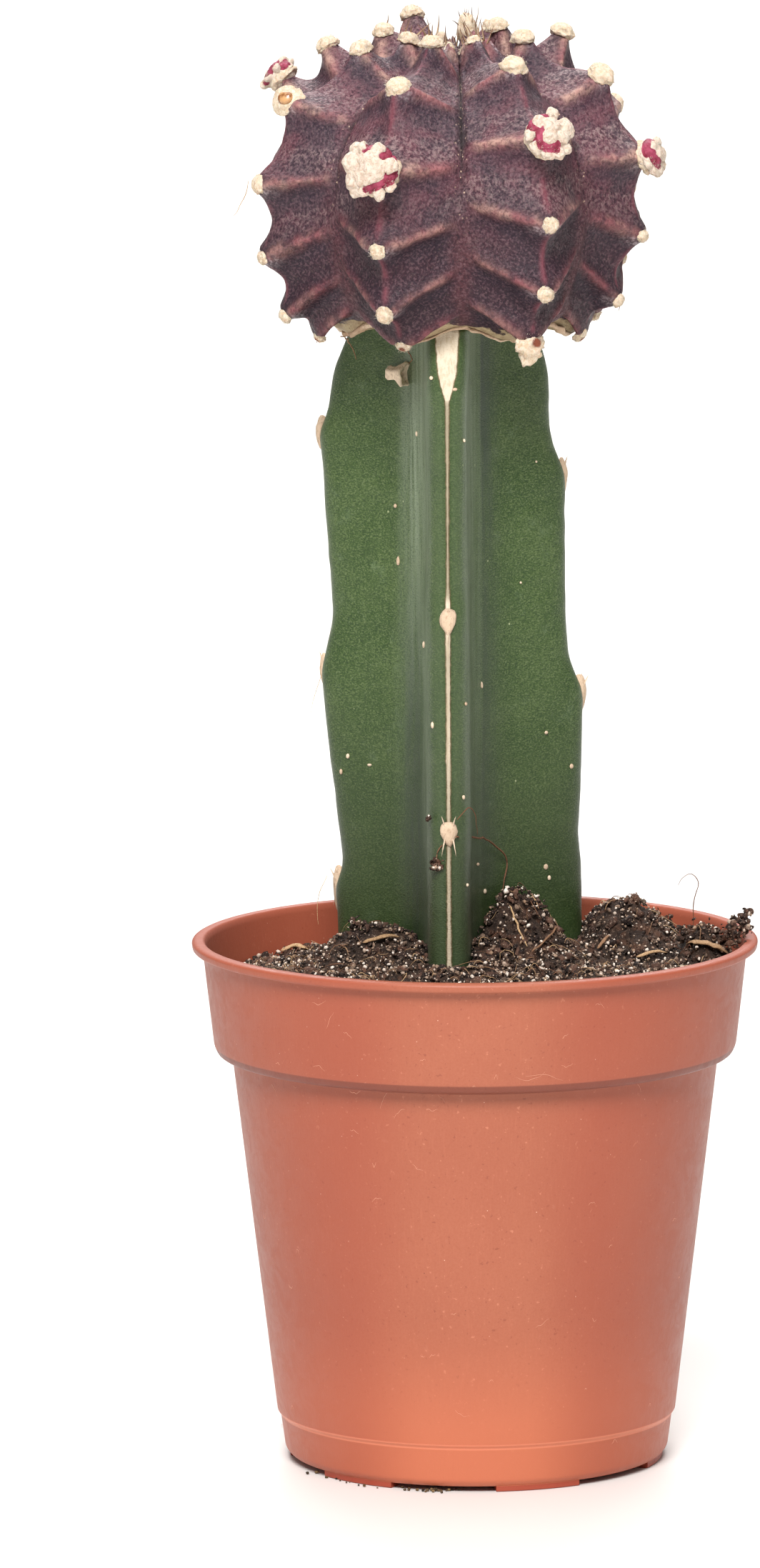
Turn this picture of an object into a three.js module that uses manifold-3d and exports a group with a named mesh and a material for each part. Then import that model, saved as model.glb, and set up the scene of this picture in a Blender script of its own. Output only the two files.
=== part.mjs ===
// A moon cactus in its nursery pot: a dark, eight-ribbed head grafted on a three-winged green stem.
// Millimetres, +Z up. The pot stands on z = 0 with its axis on the origin, and -Y is the front.
import * as THREE from 'three';
import { mergeVertices } from 'three/addons/utils/BufferGeometryUtils.js';
import { ParametricGeometry } from 'three/addons/geometries/ParametricGeometry.js';
import Module from 'manifold-3d';

const wasm = await Module();
wasm.setup();

// Driving dimensions
const clearance = 0.3;

const lipRadius = 32.5;
const lipInnerRadius = 30.9;
const potHeight = 60.4;
const lipHeight = 1.1;
const wallThickness = 0.8;
const bandTopRadius = 31.25;
const bandBottomRadius = 30.0;
const bandBottomHeight = 48.3;
const bodyTopRadius = 27.95;
const bodyTopHeight = 47.2;
const bodyBottomRadius = 22.95;
const baseStepHeight = 5.6;
const baseStepRadius = 22.6;
const baseRadius = 22.05;
const floorThickness = 1.0;
const footHeight = 0.6;
const footOuterRadius = 21.5;
const footInnerRadius = 18.9;
const footCount = 6;
const footHalfAngle = 13.5;
const firstFootAngle = 19.5;
const drainHoleRadius = 2.2;
const drainRingRadius = 13.5;
const potSegments = 44;

const stockX = -2.9;
const stockBottom = 44;
const stockTop = 131.85;
const wingHalfThickness = 2.5;
const filletRadius = 10.6;
const stockRows = 27;

const headX = -1.4;
const headColumnsPerRib = 6;
const headRowsPerBand = 4;
const ribCount = 8;
const crestScallop = 1.75;
const panelDepth = 0.85;

const soilWallLevel = 56.2;
const soilTilt = 0.03;
const soilColumns = 40;
const soilTopRows = 13;

// Colours and finishes
function finish(color, roughness) {
  return new THREE.MeshStandardMaterial({ color, roughness, metalness: 0 });
}

const potPlastic = finish(0xc4603f, 0.45);
const darkSoil = finish(0x2e221b, 0.95);
const greenSkin = finish(0x2f5a2c, 0.5);
const darkSkin = finish(0x4a2634, 0.6);

// Small helpers
const radians = THREE.MathUtils.degToRad;
const lerp = THREE.MathUtils.lerp;
const smoothstep = THREE.MathUtils.smoothstep;

function seededRandom(seed) {
  let state = seed;
  return () => {
    state = (state * 1664525 + 1013904223) % 4294967296;
    return state / 4294967296;
  };
}

// A point at an angle from the front (-Y), turning towards +X.
function polar(radius, angle, z = 0) {
  return new THREE.Vector3(radius * Math.sin(angle), -radius * Math.cos(angle), z);
}

// A solid from a closed geometry: shared vertices are merged and flat triangles dropped.
function solidOf(geometry) {
  const bare = geometry.clone();
  bare.deleteAttribute('normal');
  bare.deleteAttribute('uv');
  const merged = mergeVertices(bare, 1e-4);
  const index = merged.index.array;
  const triangles = [];
  for (let i = 0; i < index.length; i += 3) {
    const [a, b, c] = index.subarray(i, i + 3);
    if (a !== b && b !== c && c !== a) triangles.push(a, b, c);
  }
  const vertProperties = new Float32Array(merged.attributes.position.array);
  const make = (list) => new wasm.Manifold(new wasm.Mesh({
    numProp: 3,
    vertProperties,
    triVerts: new Uint32Array(list),
  }));
  const solid = make(triangles);
  return solid.volume() > 0 ? solid : make(triangles.toReversed());
}

function meshOf(name, solid, material) {
  const { vertProperties, triVerts } = solid.getMesh();
  const geometry = new THREE.BufferGeometry();
  geometry.setAttribute('position', new THREE.Float32BufferAttribute(vertProperties, 3));
  geometry.setIndex(new THREE.Uint32BufferAttribute(triVerts, 1));
  geometry.computeVertexNormals();
  const mesh = new THREE.Mesh(geometry, material);
  mesh.name = name;
  return mesh;
}

// A skin through closed rings of points, from one pole to the other.
function loft(columns, rows, pointAt) {
  const place = (u, v, target) => {
    const column = Math.round(u * columns) % columns;
    target.copy(pointAt(column, Math.round(v * rows)));
  };
  return solidOf(new ParametricGeometry(place, columns, rows));
}

function unite(solids) {
  return solids.reduce((whole, piece) => whole.add(piece));
}

// Small repeats, placed on the surface they grow from
function turnedTo(geometry, position, normal) {
  const turn = new THREE.Quaternion();
  turn.setFromUnitVectors(new THREE.Vector3(0, 0, 1), normal.clone().normalize());
  geometry.applyQuaternion(turn);
  geometry.translate(position.x, position.y, position.z);
  return solidOf(geometry);
}

function pad(position, normal, radius, height) {
  const geometry = new THREE.IcosahedronGeometry(1, 0);
  geometry.scale(radius, radius, height);
  return turnedTo(geometry, position, normal);
}

function spine(root, direction, length, radius) {
  const sunk = 0.5;
  const geometry = new THREE.ConeGeometry(radius, length + sunk, 3);
  geometry.rotateX(Math.PI / 2);
  geometry.translate(0, 0, (length + sunk) / 2 - sunk);
  return turnedTo(geometry, root, direction);
}

function bud(position, normal, radius) {
  const geometry = new THREE.IcosahedronGeometry(radius, 1);
  geometry.scale(1, 1, 0.9);
  return turnedTo(geometry, position, normal);
}

// The pot
function potProfile() {
  const floorTop = footHeight + floorThickness;
  const ledgeTop = bodyTopHeight - 0.3;
  const lipBottom = potHeight - lipHeight;
  return [
    [0, footHeight],
    [baseRadius - 0.9, footHeight],
    [baseRadius - 0.25, footHeight + 0.3],
    [baseRadius, footHeight + 1],
    [baseStepRadius, baseStepHeight - 0.35],
    [bodyBottomRadius, baseStepHeight],
    [bodyTopRadius, bodyTopHeight],
    [bandBottomRadius - 0.7, bodyTopHeight + 0.15],
    [bandBottomRadius - 0.15, bodyTopHeight + 0.6],
    [bandBottomRadius, bandBottomHeight],
    [bandTopRadius, lipBottom],
    [lipRadius - 0.2, lipBottom + 0.1],
    [lipRadius, lipBottom + 0.45],
    [lipRadius - 0.15, potHeight - 0.3],
    [lipRadius - 0.6, potHeight],
    [lipInnerRadius + 0.35, potHeight],
    [lipInnerRadius, potHeight - 0.3],
    [bandTopRadius - wallThickness, lipBottom - 0.3],
    [bandBottomRadius - wallThickness, bandBottomHeight],
    [bodyTopRadius - wallThickness, ledgeTop],
    [baseRadius - wallThickness + 0.1, floorTop + 1],
    [baseRadius - wallThickness - 0.8, floorTop],
    [0, floorTop],
  ].map(([radius, z]) => new THREE.Vector2(radius, z));
}

function footPad(middleAngle) {
  const shape = new THREE.Shape();
  const from = radians(middleAngle - footHalfAngle - 90);
  const to = radians(middleAngle + footHalfAngle - 90);
  shape.absarc(0, 0, footOuterRadius, from, to, false);
  shape.absarc(0, 0, footInnerRadius, to, from, true);
  const depth = footHeight + floorThickness / 2;
  const geometry = new THREE.ExtrudeGeometry(shape, { depth, bevelEnabled: false, curveSegments: 3 });
  return solidOf(geometry);
}

function drainHole(x, y) {
  const geometry = new THREE.CylinderGeometry(drainHoleRadius, drainHoleRadius, 8, 10);
  geometry.rotateX(Math.PI / 2);
  geometry.translate(x, y, 0);
  return solidOf(geometry);
}

function makePot() {
  const lathe = new THREE.LatheGeometry(potProfile(), potSegments);
  lathe.rotateX(Math.PI / 2);
  const feet = [];
  const holes = [drainHole(0, 0)];
  for (let i = 0; i < footCount; i += 1) {
    const angle = firstFootAngle + (i * 360) / footCount;
    feet.push(footPad(angle));
    const place = polar(drainRingRadius, radians(angle));
    holes.push(drainHole(place.x, place.y));
  }
  return unite([solidOf(lathe), ...feet]).subtract(unite(holes));
}

// The stem: each wing's reach from the stem's axis, from the top down, in [height, reach] pairs
const wings = [
  {
    angle: 0,
    margin: [[stockTop, 12.4], [124.6, 15.4], [101.5, 15.1], [98.8, 15.9], [77.5, 15.0], [74.5, 15.8], [62, 15.2]],
    areoles: [99.4, 75.0],
  },
  {
    angle: -120,
    margin: [
      [stockTop, 11.6], [125.4, 14.9], [120.3, 15.7], [118, 16.7], [104.2, 15.8], [96.7, 15.2],
      [90.4, 16.5], [81.8, 15.8], [68, 13.9], [65.4, 14.8], [62, 14.6],
    ],
    areoles: [118.1, 90.6, 65.6],
  },
  {
    angle: 120,
    margin: [
      [stockTop, 10.6], [125.4, 13.1], [117.7, 13.4], [112.8, 15.3], [96.6, 15.4], [91.7, 15.9],
      [87.5, 17.6], [76.7, 17.3], [71.7, 17.0], [66.7, 17.5], [62, 17.5],
    ],
    areoles: [113.2, 87.8],
  },
];

function wingReach(wing, z) {
  const { margin } = wing;
  for (let i = 1; i < margin.length; i += 1) {
    const [upper, reachAbove] = margin[i - 1];
    const [lower, reachBelow] = margin[i];
    if (z >= lower) return lerp(reachBelow, reachAbove, (z - lower) / (upper - lower));
  }
  return margin.at(-1)[1];
}

// One side of a wing, from its edge to the middle of the fillet, as [along the wing, across it]
function halfWing(reach, grow) {
  const half = wingHalfThickness + grow;
  const radius = filletRadius - grow;
  const centreAlong = (half + radius) / Math.tan(radians(60));
  const points = [
    [reach + grow, 0],
    [reach + grow - 0.5, half * 0.5],
    [reach + grow - 1.8, half * 0.88],
    [centreAlong, half],
  ];
  for (const turn of [15, 30]) {
    const angle = radians(-90 - turn);
    points.push([centreAlong + radius * Math.cos(angle), half + radius + radius * Math.sin(angle)]);
  }
  return points;
}

// The stem's outline at a height: three wings, each mirrored about its own direction
function stockOutline(z, grow = 0) {
  const outline = [];
  for (const wing of [wings[1], wings[0], wings[2]]) {
    const half = halfWing(wingReach(wing, z), grow);
    const before = half.slice(1, -1).reverse().map(([along, across]) => [along, -across]);
    const middle = half.at(-1);
    const along = polar(1, radians(wing.angle));
    const across = polar(1, radians(wing.angle + 90));
    for (const [a, b] of [...before, ...half.slice(0, -1), middle]) {
      outline.push(new THREE.Vector2(
        stockX + along.x * a + across.x * b,
        along.y * a + across.y * b,
      ));
    }
  }
  return outline;
}

function makeStock() {
  const columns = stockOutline(stockTop).length;
  const heightOf = (row) => lerp(stockBottom, stockTop, row / stockRows);
  const pointAt = (column, row) => {
    const inner = THREE.MathUtils.clamp(row - 1, 0, stockRows);
    const z = heightOf(inner);
    if (row === 0 || row === stockRows + 2) return new THREE.Vector3(stockX, 0, z);
    const point = stockOutline(z)[column];
    return new THREE.Vector3(point.x, point.y, z);
  };
  const grown = [loft(columns, stockRows + 2, pointAt)];
  for (const wing of wings) {
    const out = polar(1, radians(wing.angle));
    const side = polar(1, radians(wing.angle + 90));
    for (const z of wing.areoles) {
      const edge = wingReach(wing, z) - 0.1;
      const root = new THREE.Vector3(stockX + out.x * edge, out.y * edge, z);
      grown.push(pad(root, out, 1.25, 0.9));
      for (const lean of [-0.6, 0.5]) {
        const direction = out.clone().addScaledVector(side, lean).add(new THREE.Vector3(0, 0, 0.9));
        grown.push(spine(root, direction, 2.2, 0.22));
      }
    }
  }
  return unite(grown);
}

// The head: a rib's crest and the furrow beside it, as [radius, height] from the graft to the crown
const crest = new THREE.SplineCurve([
  [13.7, 132.15], [17.2, 130.5], [20.9, 132.4], [23.3, 137.0], [24.4, 142.6], [24.4, 148.4],
  [23.0, 153.8], [19.4, 158.8], [14.0, 162.4], [8.4, 164.2], [3.6, 164.4], [0, 163.1],
].map(([radius, z]) => new THREE.Vector2(radius, z)));
const furrow = new THREE.SplineCurve([
  [13.2, 132.15], [15.4, 133.0], [17.5, 135.8], [18.9, 139.8], [19.6, 144.4], [19.5, 149.0],
  [18.2, 153.2], [15.2, 156.9], [11.0, 159.9], [6.8, 161.9], [3.0, 162.8], [0, 163.1],
].map(([radius, z]) => new THREE.Vector2(radius, z)));
const headSteps = crest.points.length - 1;

// Areoles sit at these steps along a rib, shifted by its phase. A rib's reach is its width near
// the graft, at the middle and at the shoulder, as a share of the crest's.
const stations = [0.5, 2.15, 3.5, 4.95, 6.85, 8.5, 9.9];
const crowdedStations = [0.5, 2.0, 3.5, 5.1, 6.75, 7.8, 9.2];
const ribs = [
  { angle: -22.5, phase: 0.25, reach: [1, 1, 1] },
  { angle: 24, phase: 0.6, reach: [1.02, 1.02, 1.02] },
  { angle: 66.5, phase: 0.28, reach: [0.87, 0.95, 0.98] },
  { angle: 113, phase: 0.75, reach: [0.84, 0.86, 0.9] },
  { angle: 158, phase: 0.3, reach: [0.93, 0.97, 1] },
  { angle: 202.5, phase: 0.8, reach: [0.95, 1, 1] },
  { angle: 248, phase: 0, reach: [0.86, 0.88, 1.04], stations: crowdedStations },
  { angle: 291.5, phase: 0, reach: [1, 1, 1] },
];
const buds = [
  { rib: 0, station: 3, radius: 3.1 },
  { rib: 1, station: 3, radius: 2.75 },
  { rib: 2, station: 3, radius: 2.1 },
  { rib: 4, station: 3, radius: 2.6 },
  { rib: 5, station: 2, radius: 2.3 },
  { rib: 6, station: 4, radius: 2.1 },
];

function areoleStep(rib, station) {
  const steps = rib.stations ?? stations;
  const here = steps[station];
  const next = steps[station + 1] ?? headSteps - 0.4;
  return lerp(here, next, rib.phase);
}

function areoleRadius(step) {
  return 1.0 + 0.6 * smoothstep(step, 3.5, 7) - 0.35 * smoothstep(step, 8, 10.5);
}

function reachAt(rib, step) {
  const [graft, middle, shoulder] = rib.reach;
  const lower = lerp(graft, middle, smoothstep(step, 2, 5));
  const whole = lerp(lower, shoulder, smoothstep(step, 5, 7.5));
  return lerp(1, whole, smoothstep(step, 0, 1));
}

// A cross-band drifts along the rib on its way to the furrow: down near the crown, up near the graft.
function bandDrift(step) {
  return 0.14 * (5.4 - step);
}

// How far the skin sinks between two cross-bands: zero at a band, one half-way to the next
function betweenBands(rib, step, across) {
  const at = step - bandDrift(step) * across;
  const steps = stations.map((_, station) => areoleStep(rib, station));
  steps.unshift(steps[0] - 1.5);
  const i = steps.findLastIndex((value) => value <= at);
  if (i < 0 || i === steps.length - 1) return 0;
  const share = (at - steps[i]) / (steps[i + 1] - steps[i]);
  return 4 * share * (1 - share);
}

// A point of the skin: across is 0 on the crest and 1 in the furrow on the given side
function skinPoint(rib, step, across, side) {
  const t = step / headSteps;
  const high = crest.getPoint(t);
  const low = furrow.getPoint(t);
  const share = (1 - across) ** 1.15;
  const tangent = crest.getTangent(t);
  const sink = betweenBands(rib, step, across) * (1 - across ** 3)
    * lerp(crestScallop, panelDepth, Math.min(1, across * 2))
    * (1 - 0.5 * smoothstep(step, 7, 10)) * smoothstep(step, 0, 0.6);
  const width = lerp(1, reachAt(rib, step), 1 - across ** 2);
  const radius = lerp(low.x, high.x, share) * width - tangent.y * sink;
  const z = lerp(low.y, high.y, share) + tangent.x * sink;
  const neighbour = ribs[(ribs.indexOf(rib) + side + ribCount) % ribCount];
  const gap = ((neighbour.angle - rib.angle) * side + 360) % 360;
  const angle = radians(rib.angle + (side * across * gap) / 2);
  return polar(radius, angle, z).add(new THREE.Vector3(headX, 0, 0));
}

// Rings of the skin along one rib, so that every areole has a ring of its own
function ringSteps(rib) {
  const steps = [0, areoleStep(rib, 0) / 2];
  for (let station = 0; station < stations.length - 1; station += 1) {
    for (let i = 0; i < headRowsPerBand; i += 1) {
      const share = i / headRowsPerBand;
      steps.push(lerp(areoleStep(rib, station), areoleStep(rib, station + 1), share));
    }
  }
  const last = areoleStep(rib, stations.length - 1);
  return [...steps, last, (last + headSteps) / 2];
}

function makeHeadSkin() {
  const columns = ribCount * headColumnsPerRib;
  const half = headColumnsPerRib / 2;
  const rings = ribs.map(ringSteps);
  const rows = rings[0].length;
  const pointAt = (column, row) => {
    if (row === 0) return new THREE.Vector3(headX, 0, crest.points[0].y);
    if (row === rows + 1) return new THREE.Vector3(headX, 0, crest.points.at(-1).y);
    const before = Math.floor(column / headColumnsPerRib);
    const after = (before + 1) % ribCount;
    const local = column % headColumnsPerRib;
    const side = local <= half ? 1 : -1;
    const owner = side > 0 ? before : after;
    const across = (side > 0 ? local : headColumnsPerRib - local) / half;
    const middle = (rings[before][row - 1] + rings[after][row - 1]) / 2;
    const start = across === 1 ? middle : rings[owner][row - 1];
    const drift = bandDrift(start) * across * Math.min(1, start, headSteps - start);
    return skinPoint(ribs[owner], start + drift, across, side);
  };
  return loft(columns, rows + 1, pointAt);
}

function makeHead() {
  const random = seededRandom(7);
  const grown = [makeHeadSkin()];
  for (const [ribIndex, rib] of ribs.entries()) {
    for (let station = 0; station < stations.length; station += 1) {
      const step = areoleStep(rib, station);
      const tangent = crest.getTangent(step / headSteps);
      const out = polar(tangent.y, radians(rib.angle), -tangent.x);
      const tip = skinPoint(rib, step, 0, 1);
      const radius = areoleRadius(step);
      const here = buds.find((entry) => entry.rib === ribIndex && entry.station === station);
      if (here) {
        grown.push(bud(tip.clone().addScaledVector(out, here.radius * 0.45), out, here.radius));
      } else {
        grown.push(pad(tip.clone().addScaledVector(out, 0.35), out, radius, radius * 0.7));
      }
      const spineCount = station > 4 ? 2 : (station + ribIndex) % 2;
      const root = tip.clone().addScaledVector(out, here ? here.radius * 0.9 : 0.3);
      for (let i = 0; i < spineCount; i += 1) {
        const sway = new THREE.Vector3(random() - 0.5, random() - 0.5, random() - 0.2);
        grown.push(spine(root, out.clone().addScaledVector(sway, 0.9), 2 + random(), 0.14));
      }
    }
  }
  return unite(grown);
}

// The soil: a level that is higher at the front, with mounds against the stem
const mounds = [
  { x: -3, y: -3, rise: 3.0, spreadX: 15, spreadY: 17 },
  { x: -12.5, y: -1, rise: 3.4, spreadX: 6, spreadY: 5.5 },
  { x: 6, y: 0, rise: 8.0, spreadX: 5, spreadY: 6 },
  { x: 17.5, y: 5, rise: 7.0, spreadX: 6.5, spreadY: 8 },
  { x: 26.5, y: -1, rise: 4.6, spreadX: 2.6, spreadY: 3.4 },
  { x: -6, y: 15, rise: 2.2, spreadX: 7, spreadY: 5 },
];

function soilHeight(x, y) {
  const frontRise = 1.9 * smoothstep(-y, -5, 20);
  const humps = mounds.reduce((sum, mound) => {
    const reach = ((x - mound.x) / mound.spreadX) ** 2 + ((y - mound.y) / mound.spreadY) ** 2;
    return sum + mound.rise * Math.exp(-reach);
  }, 0);
  const lumps = 0.35 * Math.sin(x * 0.9 + 1.3 * Math.sin(y * 0.6)) * Math.cos(y * 0.8 + x * 0.25);
  return soilWallLevel + soilTilt * x + frontRise + humps + lumps;
}

function makeSoil() {
  const topRadius = bandTopRadius - wallThickness - clearance - 0.35;
  const ledgeTop = bodyTopHeight - 0.3;
  const floorTop = footHeight + floorThickness + clearance;
  const sides = [
    [bandBottomRadius - wallThickness - clearance - 0.05, bandBottomHeight],
    [bodyTopRadius - wallThickness - clearance - 0.05, ledgeTop + 0.1],
    [baseRadius - wallThickness - clearance, floorTop + 1],
    [baseRadius - wallThickness - clearance - 0.9, floorTop],
    [0, floorTop],
  ];
  const rows = soilTopRows + sides.length;
  const pointAt = (column, row) => {
    const angle = (column / soilColumns) * Math.PI * 2;
    if (row > soilTopRows) {
      const [radius, z] = sides[row - soilTopRows - 1];
      return polar(radius, angle, z);
    }
    const point = polar(topRadius * (row / soilTopRows), angle);
    point.z = soilHeight(point.x, point.y);
    return point;
  };
  const body = loft(soilColumns, rows, pointAt);
  const hole = new THREE.Shape(stockOutline(stockBottom, clearance));
  const depth = stockTop - stockBottom;
  const holeGeometry = new THREE.ExtrudeGeometry(hole, { depth, bevelEnabled: false });
  holeGeometry.translate(0, 0, stockBottom - clearance);
  return body.subtract(solidOf(holeGeometry));
}

const cactus = new THREE.Group();
cactus.add(meshOf('pot', makePot(), potPlastic));
cactus.add(meshOf('soil', makeSoil(), darkSoil));
cactus.add(meshOf('rootstock', makeStock(), greenSkin));
cactus.add(meshOf('scion', makeHead(), darkSkin));

export default cactus;
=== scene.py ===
import math

import bmesh
import bpy
import numpy as np
from mathutils import Matrix, Vector


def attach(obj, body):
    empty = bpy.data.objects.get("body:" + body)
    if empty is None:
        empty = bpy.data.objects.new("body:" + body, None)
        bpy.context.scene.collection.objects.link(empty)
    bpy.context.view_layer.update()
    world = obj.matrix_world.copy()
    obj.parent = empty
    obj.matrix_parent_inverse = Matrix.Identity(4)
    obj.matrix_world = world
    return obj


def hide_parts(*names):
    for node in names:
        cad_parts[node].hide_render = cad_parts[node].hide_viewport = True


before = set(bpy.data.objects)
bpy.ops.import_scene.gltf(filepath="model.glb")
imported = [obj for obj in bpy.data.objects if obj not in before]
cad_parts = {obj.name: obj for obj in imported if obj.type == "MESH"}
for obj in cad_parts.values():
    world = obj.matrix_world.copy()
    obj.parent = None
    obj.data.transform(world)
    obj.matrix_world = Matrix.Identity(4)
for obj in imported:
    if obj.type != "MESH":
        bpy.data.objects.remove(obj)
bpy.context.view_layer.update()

# The fine model of a potted moon cactus. Shapes are worked out in millimetres, in the packed
# frame: +Z up, the pot's axis on the origin, -Y the front. make_piece turns them into metres.
# A body is a pair of arrays: its points, and the triangles that join them.
MM = 0.001
UP = np.array([0.0, 0.0, 1.0])


# Numbers

def lerp(a, b, share):
    """The value a share of the way from a to b."""
    return a + (b - a) * share


def smoothstep(value, low, high):
    """0 under low, 1 over high, and a smooth rise between them."""
    share = np.clip((value - low) / (high - low), 0, 1)
    return share * share * (3 - 2 * share)


def bump_at(value, middle, width):
    """1 at the middle, falling away on both sides."""
    return np.exp(-(((value - middle) / width) ** 2))


def unit(vectors):
    return vectors / np.maximum(np.linalg.norm(vectors, axis=-1, keepdims=True), 1e-9)


def polar(radius, degrees, z):
    """Points at an angle from the front (-Y), turning towards +X."""
    angle = np.radians(degrees)
    return np.stack(np.broadcast_arrays(radius * np.sin(angle), -radius * np.cos(angle), z), -1)


def full_turn(count, whole=2 * np.pi):
    """Angles evenly round a circle, in radians unless the whole is given as 360."""
    return np.linspace(0, whole, count, endpoint=False)


def columns_of(rows):
    """The columns of a list of rows, each as one array."""
    return [np.array(column) for column in zip(*rows)]


X_PRIME, Y_PRIME, Z_PRIME = 374761393, 668265263, 1440662683
SEED_PRIME, STIR_PRIME = 1274126177, 1103515245
LOW_32_BITS, LOW_16_BITS = 0xFFFFFFFF, 0xFFFF


def lattice_value(cell, seed):
    """A fixed value from -1 to 1 for each whole-numbered cell."""
    mixed = cell[..., 0] * X_PRIME + cell[..., 1] * Y_PRIME + cell[..., 2] * Z_PRIME
    mixed = (mixed + seed * SEED_PRIME) & LOW_32_BITS
    mixed = ((mixed ^ (mixed >> 13)) * STIR_PRIME) & LOW_32_BITS
    return ((mixed ^ (mixed >> 16)) & LOW_16_BITS) / (LOW_16_BITS / 2) - 1


def soft_noise(points, size, seed):
    """Smooth noise from -1 to 1, with lumps of about the given size."""
    scaled = np.asarray(points, float) / size
    cell = np.floor(scaled).astype(np.int64)
    part = scaled - cell
    part = part * part * (3 - 2 * part)
    total = np.zeros(cell.shape[:-1])
    for corner in range(8):
        step = np.array([corner & 1, (corner >> 1) & 1, (corner >> 2) & 1])
        weight = np.where(step == 1, part, 1 - part).prod(-1)
        total += weight * lattice_value(cell + step, seed)
    return total


def lumps(points, *layers):
    """Noise in layers, each given as (height, size, seed)."""
    return sum(height * soft_noise(points, size, seed) for height, size, seed in layers)


def spline(points, at):
    """The smooth curve through points, and its slope, where at counts the points from 0."""
    points = np.array(points, float)
    last = len(points) - 1
    at = np.clip(np.asarray(at, float), 0, last)
    i = np.minimum(np.floor(at).astype(int), last - 1)
    w = (at - i)[..., None]
    before, start, end, after = (points[np.clip(i + offset, 0, last)] for offset in (-1, 0, 1, 2))
    leave = (end - before) / 2
    arrive = (after - start) / 2
    cubic = 2 * start - 2 * end + leave + arrive
    square = -3 * start + 3 * end - 2 * leave - arrive
    place = ((cubic * w + square) * w + leave) * w + start
    return place, (3 * cubic * w + 2 * square) * w + leave


# Bodies and pieces

def grid_faces(rows, columns):
    """Triangles of a grid of points whose last column meets its first."""
    row, column = np.meshgrid(np.arange(rows - 1), np.arange(columns), indexing="ij")
    here = row * columns + column
    right = row * columns + (column + 1) % columns
    quads = np.stack([here, right, right + columns, here + columns], -1).reshape(-1, 4)
    return np.concatenate([quads[:, [0, 1, 2]], quads[:, [0, 2, 3]]])


def closed_skin(rings):
    """A closed body from rings of points, with a point in the middle of each end."""
    rows, columns = rings.shape[:2]
    points = np.concatenate([rings.reshape(-1, 3), [rings[0].mean(0), rings[-1].mean(0)]])
    column = np.arange(columns)
    after = (column + 1) % columns
    start = (rows - 1) * columns
    first = np.stack([after, column, np.full(columns, rows * columns)], -1)
    last = np.stack([start + column, start + after, np.full(columns, rows * columns + 1)], -1)
    return points, np.concatenate([grid_faces(rows, columns), first, last])


def closed_ring(rings):
    """A body from rings of points whose last ring meets the first, as round a tyre."""
    rows, columns = rings.shape[:2]
    return rings.reshape(-1, 3), grid_faces(rows + 1, columns) % (rows * columns)


def facing_out(points, faces):
    """The faces, turned over if they enclose a negative volume."""
    a, b, c = (points[faces[:, k]] for k in range(3))
    return faces if (a * np.cross(b, c)).sum() > 0 else faces[:, ::-1]


def make_piece(name, body, material, slot, stands_for=(), **attributes):
    """A smooth mesh in metres that rides on the plant's one body."""
    points, faces = body
    faces = facing_out(points, faces)
    mesh = bpy.data.meshes.new(name)
    mesh.vertices.add(len(points))
    mesh.vertices.foreach_set("co", (points * MM).astype(np.float32).ravel())
    mesh.loops.add(faces.size)
    mesh.loops.foreach_set("vertex_index", faces.astype(np.int32).ravel())
    mesh.polygons.add(len(faces))
    mesh.polygons.foreach_set("loop_start", np.arange(0, faces.size, 3, dtype=np.int32))
    mesh.polygons.foreach_set("use_smooth", np.ones(len(faces), bool))
    for key, values in attributes.items():
        values = np.full(len(points), values) if np.isscalar(values) else np.ravel(values)
        mesh.attributes.new(key, "FLOAT", "POINT").data.foreach_set("value", values.astype(np.float32))
    mesh.update(calc_edges=True)
    mesh.materials.append(material)
    piece = bpy.data.objects.new(name, mesh)
    bpy.context.scene.collection.objects.link(piece)
    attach(piece, "root")
    if stands_for:
        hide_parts(*stands_for)
    return piece


def together(bodies):
    """Several bodies as one."""
    starts = np.cumsum([0] + [len(points) for points, _ in bodies])
    faces = [body_faces + start for (_, body_faces), start in zip(bodies, starts)]
    return np.concatenate([points for points, _ in bodies]), np.concatenate(faces)


def make_shaded(name, parts, material, slot):
    """One piece from (body, shade) pairs."""
    shade = np.concatenate([np.full(len(body[0]), value) for body, value in parts])
    make_piece(name, together([body for body, _ in parts]), material, slot, shade=shade)


def repeated(points, faces):
    """Several copies of one form as one body, from their points by copy."""
    offsets = (np.arange(len(points)) * points.shape[1])[:, None, None]
    return points.reshape(-1, 3), (faces[None] + offsets).reshape(-1, 3)


def per_copy(values, body):
    """One value for each copy, spread over the points of the copies' body."""
    return np.repeat(values, len(body[0]) // len(values))


def ball(subdivisions):
    """A round ball of radius 1."""
    shape = bmesh.new()
    bmesh.ops.create_icosphere(shape, subdivisions=subdivisions, radius=1)
    points = np.array([v.co[:] for v in shape.verts])
    faces = np.array([[v.index for v in f.verts] for f in shape.faces])
    shape.free()
    return points, faces


BALLS = {level: ball(level) for level in (1, 2, 3, 4, 5, 6)}


def frames_along(normals):
    """For each normal, three axes as columns: two across it and the normal itself."""
    normals = unit(normals)
    helper = np.where(np.abs(normals[:, 2:]) > 0.95, np.array([[1.0, 0, 0]]), UP)
    across = unit(np.cross(helper, normals))
    return np.stack([across, np.cross(normals, across), normals], -1)


def placed(local, faces, centres, axes):
    """Copies of a form in their own places and axes, as one body."""
    return repeated(centres[:, None] + np.einsum("kij,knj->kni", axes, local), faces)


def copies(level, centres, axes, sizes, rough, seed, shape=None):
    """Lumpy balls, each with its own place, axes and size in three directions."""
    base, faces = BALLS[level]
    # Each copy takes its bumps from its own place in the noise.
    shift = np.arange(len(centres))[:, None, None] * 17.31 + seed * 3.7
    bumps = lumps(base[None] + shift, (1, 0.8, seed), (0.5, 0.37, seed))
    form = base if shape is None else shape(base)
    return placed(form[None] * (1 + rough * bumps[..., None]) * sizes[:, None, :], faces, centres, axes)


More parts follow.
